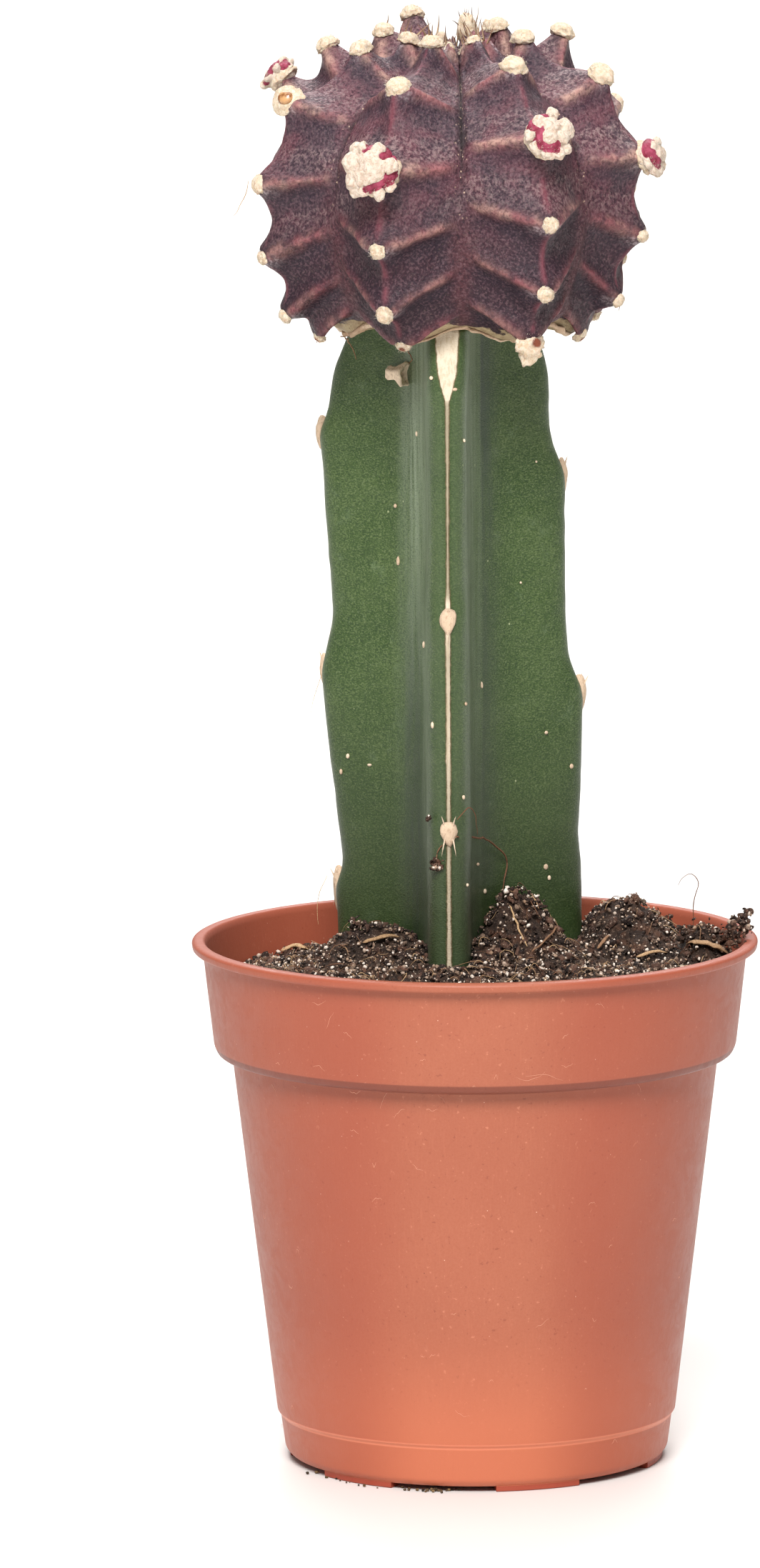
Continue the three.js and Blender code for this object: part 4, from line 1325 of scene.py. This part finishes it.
def build_areoles():
    """Wool caps on every rib, with their tufts, fuzz and spines."""
    random = np.random.default_rng(5)
    pads = []
    spines = []
    for place in np.ndindex(AREOLES.shape):
        rib, station = place
        tip, out = areole_place(rib, station)
        radius, thick, lift = pad_size(place, random)
        outward = polar(0.9 * (station == 0), RIB_ANGLES[rib], 0)
        turned = np.array(PADS.get(place, {}).get("turned", (0, 0, 0)))
        size = [radius, radius * random.uniform(0.86, 1.05), thick]
        brown = (0.7 if station == 0 else 0.05) + random.uniform(-0.1, 0.3)
        torn = 1.0
        if place == HANGING_PAD:
            brown, torn = 1.0, 2.6
        pads.append((tip + out * lift, unit(out + outward + turned), size, brown, torn))
        if place not in BUDS:
            spines += areole_spines(tip, out, place, random)
    build_wool(*columns_of(pads), random)
    build_buds(random)
    roots, tips, shades, thickness = columns_of(spines)
    body = hairs(roots, tips, random.normal(size=roots.shape) * 0.14, thickness, 6)
    root_end = np.tile(np.repeat(np.linspace(1, 0, 7), 3), len(roots))
    shade = per_copy(shades, body) + 0.3 * root_end
    make_piece("head_spines", body, spine_brown(), "head_skin", shade=shade)


def areole_spines(tip, out, place, random):
    """Spines of one areole: more and longer towards the crown."""
    sway, upward, lengths, widths = CROWN_SPINES if place[1] > SHOULDER_STATION else LOW_SPINES
    count = SPINES.get(place, random.integers(0, 3))
    axes = frames_along(out[None])[0]
    result = []
    for _ in range(count):
        way = unit(out + random.normal(size=3) * sway + UP * upward)
        length = random.uniform(*lengths)
        root = tip + out * 0.25 + axes @ (random.normal(size=3) * (0.4, 0.4, 0))
        thickness = random.uniform(*widths)
        result.append((root - way * 0.3, root + way * length, random.uniform(0, 0.5) ** 1.4, thickness))
    return result


def build_wool(centres, normals, sizes, browns, torn, random):
    """The wool caps, browner in the middle of their faces, and the fuzz on them."""
    body = ragged_caps(centres, normals, sizes, torn)
    local = np.tile(BALLS[4][0], (len(centres), 1))
    aside = per_copy(0.3 * (torn > 1), body)
    face_middle = bump_at(np.hypot(local[:, 0] - aside, local[:, 1] - aside), 0, 0.5 - 0.4 * aside)
    brown = face_middle * (local[:, 2] > 0) * per_copy(browns, body)
    strands = fuzz(centres, normals, sizes * 1.02, FIBRES_PER_PAD, random, 0.45)
    skin = wool("areole_wool", (216, 201, 181), (196, 172, 144))
    make_piece("areole_wool", body, skin, "head_skin", brown=brown)
    fluff = wool("areole_fuzz", (222, 208, 190), (204, 184, 160))
    make_piece("areole_fuzz", strands, fluff, "head_skin", brown=0)


def bud_point(right, up):
    """A point over a bud's dome, in radii from the bud's middle."""
    dome = np.sqrt(np.maximum(0.05, 1.15 - right**2 - up**2))
    return np.stack([right, up, dome * BUD_DOME], -1)


def bud_body(bud, seed, level):
    """A bud in its own frame and radii: matted tufts grown into one mass, with its skin showing in
    narrow folds between them. Gives its body and how much skin shows."""
    base, faces = BALLS[level]
    around = base + 7.1 * seed
    ragged = np.stack([lumps(around, (1, 0.3, 31 + k), (0.6, 0.13, 34 + k)) for k in range(3)], -1)

    # The tufts: each one is a ball, and the mass is their smooth maximum.
    ways = unit(base + 0.07 * ragged)
    right, up, size = np.transpose(bud["tufts"])
    tufts = bud_point(right, up)
    size = size * 1.08
    reach = np.linalg.norm(tufts, axis=1)
    gaps = np.linalg.norm(ways[:, None] * reach[None, :, None] - tufts[None], axis=-1) / size
    heights = size * 0.85 * np.sqrt(np.clip(1 - gaps**2, 0, 1)) + (reach - 0.8) * (gaps < 1)
    sharp = 34
    tuft_height = np.log(np.exp(sharp * heights).sum(1)) / sharp - np.log(len(size)) / sharp

    # The folds: how far each point is from the nearest one.
    ways = unit(base + 0.03 * ragged)
    folds = np.full(len(base), 9.0)
    for path in bud["crimson"]:
        line, _ = spline(path, np.linspace(0, len(path) - 1, 24))
        line = unit(bud_point(*line.T))
        folds = np.minimum(folds, np.linalg.norm(ways[:, None] - line[None], axis=-1).min(1))
    fold_width = bud.get("fold", 0.2) + lumps(around, (0.08, 0.45, 38))
    skin_shows = 1 - smoothstep(folds, fold_width * 0.7, fold_width)
    bare = (1 - smoothstep(tuft_height, 0.0, 0.07)) * (1 - smoothstep(folds, 0.25, 0.5))
    skin_shows = np.maximum(skin_shows, bare)
    fold_height = 0.05 * np.sqrt(np.clip(1 - (folds / fold_width) ** 2, 0, 1)) + 0.02
    rise = lerp(tuft_height, fold_height, 1 - smoothstep(folds, fold_width * 0.65, fold_width * 1.05))
    matted = lumps(around, (0.035, 0.16, 39), (0.02, 0.08, 40))
    radial = BUD_CORE + rise + matted * (1 - 0.7 * skin_shows)
    return base * radial[:, None], faces, skin_shows


def build_buds(random):
    """The buds, and the fuzz on each tuft of their wool."""
    bodies = []
    shows = []
    tufts = []
    for seed, (place, bud) in enumerate(BUDS.items()):
        tip, out = areole_place(*place)
        radius = bud["radius"]
        axes = frames_along(out[None])[0]
        middle = tip + out * radius * 0.22
        points, faces, skin_shows = bud_body(bud, seed, 6 if radius > FINE_BUD_RADIUS else 5)
        squash = np.array([1.18, 1.18, 0.95]) * radius
        bodies.append((middle + (points * squash) @ axes.T, faces))
        shows.append(skin_shows)
        for right, up, size in bud["tufts"]:
            centre = middle + radius * 1.02 * (axes @ bud_point(np.array(right), np.array(up)))
            way = out + 0.7 * (axes[:, 0] * right + axes[:, 1] * up)
            tufts.append((centre, way, np.array([size, size, 0.5 * size]) * radius))
    body = together(bodies)
    make_piece("buds", body, bud_finish(), "head_skin", skin_shows=np.concatenate(shows))
    strands = fuzz(*columns_of(tufts), FIBRES_PER_TUFT, random, 0.4)
    fluff = wool("bud_fuzz", (220, 206, 190), (200, 180, 160))
    make_piece("bud_fuzz", strands, fluff, "head_skin", brown=-0.05)


def build_amber_drop():
    tip, out = areole_place(*AMBER_DISC)
    way = unit(out + np.array(PADS[AMBER_DISC]["turned"]))
    centre = tip + out * 0.3 + way * 0.42
    size = np.array([[0.95, 0.85, 0.5]])
    body = copies(3, centre[None], frames_along(way[None]), size, 0.05, 51)
    make_piece("amber_drop", body, amber(), "head_skin")


def build_callus():
    """The pale, lumpy rim that healed over between the stem and the head."""
    turn = full_turn(300, 360)
    section = np.radians(full_turn(12, 360))
    half_gaps = np.diff(RIB_ANGLES, append=RIB_ANGLES[0] + 360) / 2
    knots = np.concatenate([RIB_ANGLES, RIB_ANGLES + half_gaps])
    heights = graft_line(np.interp(turn, knots, np.repeat([0.0, 1.0], RIBS), period=360)) - 0.15
    rings = []
    for angle, height in zip(turn, heights):
        # How thick and how wide it is both vary slowly round the head.
        thick = CALLUS_THICKNESS + lumps(polar(14, angle, 0), (0.34, 2.6, 61))
        radius = CALLUS_RADIUS + lumps(polar(14, angle, 5), (0.45, 4.0, 62))
        rings.append(polar(radius + thick * np.cos(section), angle, height + 0.7 * thick * np.sin(section)))
    rings = np.array(rings)
    rings[..., 0] += HEAD_X
    body = closed_ring(rings + lumps(rings, (0.22, 0.8, 63))[..., None])
    shade = 0.5 + lumps(body[0], (0.45, 2.4, 64))
    make_piece("graft_callus", body, cork(), "head_skin", shade=shade)


# Loose threads: dead spines, roots and hairs, as points, then thickness and shade
THREADS = [
    ([(-7.6, -15.7, 130.4), (-7.2, -9.0, 128.9), (-6.9, -4.0, 127.6), (-7.3, -2.6, 126.9)], 0.06, 0.15),
    ([(-14.9, -12.0, 131.2), (-14.3, -6.0, 130.2), (-13.7, 0.0, 128.4), (-13.2, 2.8, 126.9)], 0.07, 0.35),
    ([(-1.9, -16.2, 76.6), (-0.6, -14.6, 77.7), (0.1, -13.3, 76.4), (0.4, -12.0, 74.2)], 0.05, 0.1),
    ([(-2.0, -16.0, 74.6), (0.0, -9.0, 73.4), (1.6, -3.5, 72.2), (3.6, 0.2, 69.6), (3.4, 0.2, 66.9),
      (2.9, 0.2, 64.4)], 0.09, 0.12),
    ([(-3.6, -15.6, 73.6), (-4.2, -15.4, 72.6), (-4.4, -15.2, 71.4)], 0.07, 0.2),
    ([(25.0, 2.0, 59.2), (25.1, 2.0, 61.5), (25.2, 2.0, 64.0), (25.7, 2.0, 66.2), (24.9, 2.0, 67.4),
      (23.9, 2.0, 66.9), (23.4, 2.0, 66.0)], 0.05, 0.1),
    ([(-16.6, 8.3, 90.9), (-17.6, 7.5, 89.4), (-18.4, 7.0, 87.0), (-18.7, 6.6, 85.2)], 0.025, 1.0),
    ([(-17.0, 7.8, 66.4), (-17.8, 7.0, 64.6), (-18.2, 6.6, 62.6), (-18.0, 6.3, 60.9)], 0.03, 1.0),
    ([(-25.2, -8.6, 148.4), (-25.6, -9.0, 146.9), (-26.4, -9.3, 145.2), (-27.0, -9.5, 144.5)], 0.04, 0.7),
]


def build_threads():
    parts = []
    for path, radius, shade in THREADS:
        points, faces = tube(np.array(path), [radius, radius * 1.2, radius, radius * 0.5], 6, 8)
        sway = np.stack([lumps(points, (0.12, 1.3, seed)) for seed in (71, 72, 73)], -1)
        parts.append(((points + sway, faces), shade))
    make_shaded("loose_threads", parts, plant_fibre(), "soil_mix")


# The soil: a level that is higher at the front, with mounds (x, y, rise, spread in x and in y)
SOIL_WALL_LEVEL = 56.2
SOIL_TILT = 0.03
SOIL_RADIUS = 29.8
SURFACE_EDGE = 29.6
SOIL_COLUMNS = 300
SOIL_ROWS = 96
# The height where the stem's outline meets the soil, and the gap left round it
STEM_CUT_LEVEL = 58.0
HOLE_CLEARANCE = 0.3
HOLE_SIDE_CLEARANCE = 0.25
MOUNDS = [
    (-3, -3, 3.0, 15, 17), (-12.5, -1, 4.2, 6, 5.5), (5, 0, 7.3, 4.7, 6), (11.4, 3, -2.6, 2.0, 4.5),
    (17.2, 5.5, 7.0, 6.4, 7.5), (26.5, -1, 4.6, 2.6, 3.4), (-6, 15, 2.2, 7, 5),
]


def soil_height(x, y):
    """The height of the soil's surface: a tilted level, its mounds and low ripples."""
    height = SOIL_WALL_LEVEL + SOIL_TILT * x + 1.9 * smoothstep(-y, -5, 20)
    for mound_x, mound_y, rise, spread_x, spread_y in MOUNDS:
        height = height + rise * np.exp(-(((x - mound_x) / spread_x) ** 2) - ((y - mound_y) / spread_y) ** 2)
    return height + 0.35 * np.sin(0.9 * x + 1.3 * np.sin(0.6 * y)) * np.cos(0.8 * y + 0.25 * x)


def soil_normal(x, y):
    """The way the soil's surface faces."""
    near = 0.4
    slope_x = (soil_height(x + near, y) - soil_height(x - near, y)) / (2 * near)
    slope_y = (soil_height(x, y + near) - soil_height(x, y - near)) / (2 * near)
    return unit(np.stack([-slope_x, -slope_y, np.ones_like(slope_x)], -1))


def in_stem(x, y, grow):
    """Whether a place lies inside the stem's outline near the soil, grown by a margin."""
    found = np.zeros(np.shape(x), bool)
    for wing in WINGS:
        out, _ = wing_axes(wing)
        along = (x - STOCK_X) * out[0] + y * out[1]
        across = np.abs((x - STOCK_X) * out[1] - y * out[0])
        inside = np.clip(WING_CENTRE - along, 0, FILLET * 0.5)
        half = WING_HALF + FILLET - np.sqrt(FILLET**2 - inside**2)
        reach = from_list(wing["margin"], STEM_CUT_LEVEL)
        found |= (along > 0) & (along < reach + grow) & (across < half + grow)
    return found


def stem_hole():
    """The hole in the soil that the stem stands in."""
    lines = []
    for wing in WINGS:
        out, beside = wing_axes(wing)
        reach = from_list(wing["margin"], STEM_CUT_LEVEL) + HOLE_CLEARANCE
        along, across = half_wing(reach, 0.3, np.linspace(0, 1, 14))
        for side, order in ((-1, slice(None, 0, -1)), (1, slice(None, -1))):
            aside = across[order, None] + HOLE_SIDE_CLEARANCE
            lines.append(out * along[order, None] + beside * side * aside)
    outline = np.concatenate(lines) + (STOCK_X, 0, 0)
    return closed_skin(np.array([outline + (0, 0, z) for z in (STOCK_BOTTOM - HOLE_CLEARANCE, STOCK_TOP)]))


def build_soil():
    """The bed of soil down to the pot's floor, with the hole that the stem stands in."""
    share = (np.arange(SOIL_ROWS) + 0.6) / (SOIL_ROWS - 0.4)
    angles = full_turn(SOIL_COLUMNS, 360)
    top = polar(SOIL_RADIUS * share[:, None], angles[None, :], 0)
    crumbly = lumps(top, (0.45, 1.3, 81), (0.35, 0.65, 82))
    top[..., 2] = soil_height(top[..., 0], top[..., 1]) - 0.45 + crumbly
    floor_top = FOOT + FLOOR + 0.3
    sides = [
        (BAND_BOTTOM_RADIUS - WALL - 0.35, BAND_BOTTOM), (BODY_TOP_RADIUS - WALL - 0.35, BODY_TOP - 0.2),
        (BASE_RADIUS - WALL - 0.3, floor_top + 1), (BASE_RADIUS - WALL - 1.2, floor_top), (9.0, floor_top),
    ]
    body = closed_skin(np.concatenate([top, [polar(radius, angles, z) for radius, z in sides]]))
    skin = potting_soil("soil_bed", (36, 24, 18), (70, 50, 38), 0.3)
    shade = 0.5 + lumps(body[0], (0.5, 1.1, 83))
    soil = make_piece("soil_bed", body, skin, "soil_mix", ["soil"], shade=shade)
    join_or_cut(soil, [stem_hole()], "DIFFERENCE")


def soil_places(count, random, edge=SURFACE_EDGE):
    """Random places on the soil's surface, outside the stem."""
    places = np.zeros((0, 2))
    while len(places) < count:
        radius = edge * np.sqrt(random.uniform(0, 1, count))
        turn = random.uniform(0, 2 * np.pi, count)
        x, y = radius * np.sin(turn), -radius * np.cos(turn)
        keep = ~in_stem(x, y, -0.1)
        places = np.concatenate([places, np.stack([x, y], -1)[keep]])
    return places[:count].T


# Clumps of soil that lie on the rim and cling to the plant: (x, y, z, spread, crumbs)
CLUMPS = [
    (26.0, -1.5, 60.2, 1.5, 90), (29.6, -3.0, 60.9, 1.0, 60), (30.8, -1.5, 62.0, 0.75, 44),
    (31.2, -0.5, 63.3, 0.4, 12), (29.6, -0.8, 62.4, 0.4, 10), (24.0, -1.5, 61.2, 0.7, 30),
    (28.0, -2.0, 60.6, 1.0, 44), (-4.3, -15.3, 71.4, 0.45, 34), (-5.1, -14.5, 76.5, 0.16, 5),
    (3.9, -1.5, 65.4, 0.8, 30), (7.0, -0.5, 64.6, 0.7, 24), (-13.6, -1.8, 62.3, 0.6, 14),
    (31.4, 4.5, 60.7, 0.3, 6), (22.0, 8.0, 61.0, 0.8, 16),
]
# The two sorts of crumb: name, level of the ball, count, sizes, roughness, lift over the soil,
# share of pale glints, light colour, and how rare the light ones are
CRUMBS = [
    ("soil_crumbs", 2, 1450, (0.2, 0.56), 0.62, 0.1, 0.6, (120, 86, 70), 1.5),
    ("soil_bits", 1, 6400, (0.1, 0.34), 0.6, 0.24, 0.85, (188, 156, 132), 4.0),
]
# How far crumbs reach from the pot's middle, and the height over which they may lie on its rim
CRUMB_EDGE = 30.6
RIM_LEVEL = 60
FIBRE_START_EDGE = 27.5
FIBRE_END_EDGE = 29.4
GRAIN_COUNT = 3000
FIBRE_COUNT = 360
FOOT_CRUMB_COUNT = 34
FOOT_CRUMB_RING = (20.6, 22.6)


def clump_places(random):
    """A place for each crumb of every clump."""
    return np.concatenate([
        random.normal(size=(count, 3)) * spread * 0.62 + (x, y, z) for x, y, z, spread, count in CLUMPS
    ])


def scattered(level, centres, size, widths, random, rough, seed):
    """Lumpy balls that lie at random angles."""
    spread = random.uniform(*widths, (len(size), 3)) * size[:, None]
    axes = frames_along(unit(random.normal(size=(len(size), 3))))
    return copies(level, centres, axes, spread, rough, seed)


def build_crumbs():
    """The mix: dark crumbs of two sizes, pale grains and fibres over the bed of soil."""
    random = np.random.default_rng(3)
    for name, level, count, (small, large), rough, lift, pale, light, rareness in CRUMBS:
        x, y = soil_places(count, random)
        size = lerp(small, large, random.uniform(0, 1, count) ** 2.4)
        centres = np.stack([x, y, soil_height(x, y) - 0.28], -1)
        centres = centres + soil_normal(x, y) * (size * 0.3 + lift)[:, None]
        extra = clump_places(random)
        centres = np.concatenate([centres, extra])
        size = np.concatenate([size, lerp(small, large * 0.5, random.uniform(0, 1, len(extra)) ** 2)])
        inside_wall = np.hypot(centres[:, 0], centres[:, 1]) + size < CRUMB_EDGE
        keep = inside_wall | (centres[:, 2] > RIM_LEVEL)
        body = scattered(level, centres[keep], size[keep], (0.35, 1.5), random, rough, level * 9)
        shade = per_copy(random.uniform(0, 1, keep.sum()) ** rareness, body)
        make_piece(name, body, potting_soil(name, (34, 22, 19), light, pale), "soil_mix", shade=shade)
    build_grains(random)
    build_fibres(random)


def build_grains(random):
    """Pale grains, strewn over the soil and through the clumps."""
    x, y = soil_places(GRAIN_COUNT, random)
    size = lerp(0.07, 0.23, random.uniform(0, 1, GRAIN_COUNT) ** 2.2)
    centres = np.stack([x, y, soil_height(x, y) - 0.12], -1) + soil_normal(x, y) * 0.3
    extra = clump_places(random)[::5]
    centres = np.concatenate([centres, extra])
    size = np.concatenate([size, random.uniform(0.14, 0.3, len(extra))])
    body = scattered(1, centres, size, (0.5, 1.5), random, 0.5, 5)
    shade = per_copy(random.uniform(0, 1, len(size)) ** 1.5, body)
    make_piece("soil_grains", body, pale_grains(), "soil_mix", shade=shade)


# Larger pieces in the mix: (start, end, bow, half width, half thickness, shade)
BARK = [
    ((-22.6, -6.5, 59.6), (-19.4, -8.2, 60.9), 0.3, 0.6, 0.2, 0.72),
    ((-12.8, -9.5, 61.3), (-8.6, -10.5, 62.2), 0.4, 0.4, 0.2, 0.6),
    ((24.2, -8.0, 61.0), (29.0, -8.5, 59.9), 0.5, 0.75, 0.2, 0.5),
    ((3.9, -9.0, 65.7), (6.0, -14.5, 61.4), -0.2, 0.11, 0.08, 0.85),
    ((6.4, -15.5, 60.9), (9.8, -11.0, 63.1), 0.3, 0.12, 0.1, 0.25),
    ((6.6, -2.5, 65.7), (7.4, -3.5, 64.1), 0.1, 0.1, 0.08, 0.6),
    ((14.0, -11.0, 60.6), (15.5, -10.0, 62.2), 0.2, 0.2, 0.14, 0.3),
    ((18.5, -14.0, 60.2), (22.0, -13.0, 60.6), 0.4, 0.3, 0.16, 0.7),
    ((-4.0, 17.0, 57.0), (-9.5, 18.5, 57.0), 0.6, 0.5, 0.2, 0.5),
    ((10.0, 19.0, 56.0), (16.0, 17.0, 56.0), 0.5, 0.4, 0.2, 0.4),
]
# Bark slides back along the photograph's line of sight, so that it still shows in its place.
BARK_SLIDE = math.tan(0.15)
LONGEST_SLIDE = 26
BARK_CLEARANCE = 0.3


def settled(line):
    """A line of points slid away from the front and a little down, until it rests on the soil."""
    back = np.arange(0, LONGEST_SLIDE, 0.1)
    x = line[:, 0]
    y = line[:, 1, None] + back
    gaps = line[:, 2, None] - back * BARK_SLIDE - soil_height(x[:, None], y) - BARK_CLEARANCE
    first = np.where((gaps < 0).any(1), (gaps < 0).argmax(1), gaps.argmin(1))
    resting = np.take_along_axis(y, first[:, None], 1)[:, 0]
    resting = np.convolve(np.pad(resting, 2, mode="edge"), np.ones(5) / 5, "valid")
    return np.stack([x, resting, soil_height(x, resting) + BARK_CLEARANCE], -1)


def build_fibres(random):
    """Curled fibres that lie on the soil, and the pieces of bark."""
    x, y = soil_places(FIBRE_COUNT, random, FIBRE_START_EDGE)
    heading = random.uniform(0, 2 * np.pi, FIBRE_COUNT)
    length = random.gamma(2.0, 0.6, FIBRE_COUNT) + 0.5
    curl = random.normal(0, 0.45, FIBRE_COUNT)
    lift = random.uniform(0.1, 0.7, FIBRE_COUNT)
    run = np.linspace(0, 1, 6)
    parts = []
    for k in range(FIBRE_COUNT):
        turn = heading[k] + curl[k] * run * 2
        across = x[k] + length[k] * run * np.cos(turn)
        away = y[k] + length[k] * run * np.sin(turn)
        scale = np.minimum(1, FIBRE_END_EDGE / np.maximum(np.hypot(across, away), 1))
        across, away = across * scale, away * scale
        if in_stem(across, away, 0).any():
            continue
        z = soil_height(across, away) + 0.25 + lift[k] * np.sin(run * np.pi)
        radius = random.uniform(0.025, 0.065)
        body = tube(np.stack([across, away, z], -1), [radius * 0.7, radius, radius * 0.4], 4, 1)
        parts.append((body, random.uniform(0, 1)))
    parts += [(bark_piece(*shape), shade) for *shape, shade in BARK]
    make_shaded("soil_fibres", parts, plant_fibre(), "soil_mix")


def bark_piece(start, end, bow, half_width, half_thickness):
    """A flat, ragged strip between two points, bowed upwards."""
    run = np.linspace(0, 1, 14)
    line = settled(lerp(np.array(start), np.array(end), run[:, None]))
    line = line + UP * (0.6 * bow * np.sin(run * np.pi))[:, None]
    side = unit(np.cross(line[-1] - line[0], UP))
    face = unit(np.cross(side, line[-1] - line[0]))
    turn = full_turn(12)
    ends = np.sqrt(np.maximum(0.05, 1 - (2 * run - 1) ** 6))
    ragged = 1 + 0.35 * soft_noise(line * 1.7, 1.0, 91)
    across = side * (np.cos(turn) * half_width)[None, :, None] * (ends * ragged)[:, None, None]
    up = face * (np.sin(turn) * half_thickness)[None, :, None] * ends[:, None, None]
    rings = line[:, None] + across + up
    return closed_skin(rings + lumps(rings, (0.12, 0.7, 92))[..., None])


def build_foot_crumbs():
    """A few crumbs caught between the pot's feet."""
    random = np.random.default_rng(17)
    degrees = np.concatenate([random.normal(-13, 4, 20), random.normal(-40, 9, 14)])
    size = random.uniform(0.1, 0.26, FOOT_CRUMB_COUNT)
    centres = polar(random.uniform(*FOOT_CRUMB_RING, FOOT_CRUMB_COUNT), degrees, size * 0.8)
    spread = random.uniform(0.7, 1.3, (FOOT_CRUMB_COUNT, 3)) * size[:, None]
    spread[:, 2] = size * 0.75
    axes = np.broadcast_to(np.eye(3), (FOOT_CRUMB_COUNT, 3, 3))
    body = copies(2, centres, axes, spread, 0.15, 13)
    body[0][:, 2] = np.maximum(body[0][:, 2], 0.01)
    skin = potting_soil("floor_crumbs", (40, 28, 20), (150, 120, 80), 0.5)
    shade = per_copy(random.uniform(0, 1, FOOT_CRUMB_COUNT), body)
    make_piece("foot_crumbs", body, skin, "soil_mix", shade=shade)


# The studio: the camera's place in millimetres, its turns in radians and its lens
CAMERA_BACK = 1300.0
CAMERA_HEIGHT = 274.585
CAMERA_PITCH = 0.1499
CAMERA_YAW = -0.0083
CAMERA_ROLL = -0.0047
CAMERA_LENS = 263.52
SENSOR_WIDTH = 36
FLOOR_RADIUS = 6
FLOOR_CORNERS = 96
FLOOR_Z = -0.00002
WORLD_BRIGHTNESS = 0.34
PLANT_MIDDLE = (0, 0, 0.08)


def build_camera():
    """The camera where the photograph's was: looking down on the pot from the front."""
    level = math.cos(CAMERA_PITCH)
    ahead = np.array([math.sin(CAMERA_YAW) * level, math.cos(CAMERA_YAW) * level, -math.sin(CAMERA_PITCH)])
    right = unit(np.cross(ahead, UP))
    above = np.cross(right, ahead)
    camera_x = right * math.cos(CAMERA_ROLL) + above * math.sin(CAMERA_ROLL)
    camera_y = above * math.cos(CAMERA_ROLL) - right * math.sin(CAMERA_ROLL)
    data = bpy.data.cameras.new("camera")
    data.lens = CAMERA_LENS
    data.sensor_width = SENSOR_WIDTH
    data.clip_start = 0.1
    data.clip_end = 50
    camera = bpy.data.objects.new("camera", data)
    turn = Matrix([camera_x.tolist(), camera_y.tolist(), (-ahead).tolist()]).transposed()
    place = Vector((0, -CAMERA_BACK * MM, CAMERA_HEIGHT * MM))
    camera.matrix_world = Matrix.Translation(place) @ turn.to_4x4()
    bpy.context.scene.collection.objects.link(camera)
    bpy.context.scene.camera = camera


def build_light(name, place, size, strength, aim=PLANT_MIDDLE):
    """A round soft light, with its place and size in metres. Its strength is how brightly it
    lights a white card at the aim, where 1 is as bright as the card can be shown."""
    way = Vector(aim) - Vector(place)
    data = bpy.data.lights.new(name, "AREA")
    data.shape = "DISK"
    data.size = size
    data.energy = strength * math.pi**2 * (way.length**2 + size**2 / 4)
    light = bpy.data.objects.new(name, data)
    light.location = place
    light.rotation_mode = "QUATERNION"
    light.rotation_quaternion = way.to_track_quat("-Z", "Y")
    light.visible_camera = False
    bpy.context.scene.collection.objects.link(light)


def build_floor():
    skin = Finish("studio_floor", Base_Color=tint(230, 228, 224), Roughness=0.4, Specular_IOR_Level=0.3)
    turn = full_turn(FLOOR_CORNERS)
    level = np.full(FLOOR_CORNERS, FLOOR_Z)
    rim = np.stack([FLOOR_RADIUS * np.cos(turn), FLOOR_RADIUS * np.sin(turn), level], -1)
    mesh = bpy.data.meshes.new("floor")
    mesh.from_pydata(rim.tolist(), [], [list(range(FLOOR_CORNERS))])
    mesh.materials.append(skin.material)
    floor = bpy.data.objects.new("floor", mesh)
    bpy.context.scene.collection.objects.link(floor)


def build_studio():
    """A pale floor, white surroundings and large soft lights."""
    build_floor()
    world = bpy.data.worlds.new("studio")
    world.use_nodes = True
    background = world.node_tree.nodes["Background"]
    background.inputs["Color"].default_value = (1, 1, 1, 1)
    background.inputs["Strength"].default_value = WORLD_BRIGHTNESS
    bpy.context.scene.world = world
    build_light("key_softbox", (-0.1, -1.1, 1.1), 0.7, 1.4)
    build_light("top_softbox", (0.0, 0.3, 1.4), 1.2, 0.45)
    build_light("floor_softbox", (0.0, 1.9, 1.6), 1.8, 1.6, aim=(0, 1.9, 0))
    bpy.context.scene.view_settings.view_transform = "Standard"


build_camera()
build_studio()
build_pot()
build_lint()
build_soil()
build_crumbs()
build_foot_crumbs()
build_stem()
build_stem_areoles()
build_head_skin()
build_areoles()
build_amber_drop()
build_callus()
build_threads()
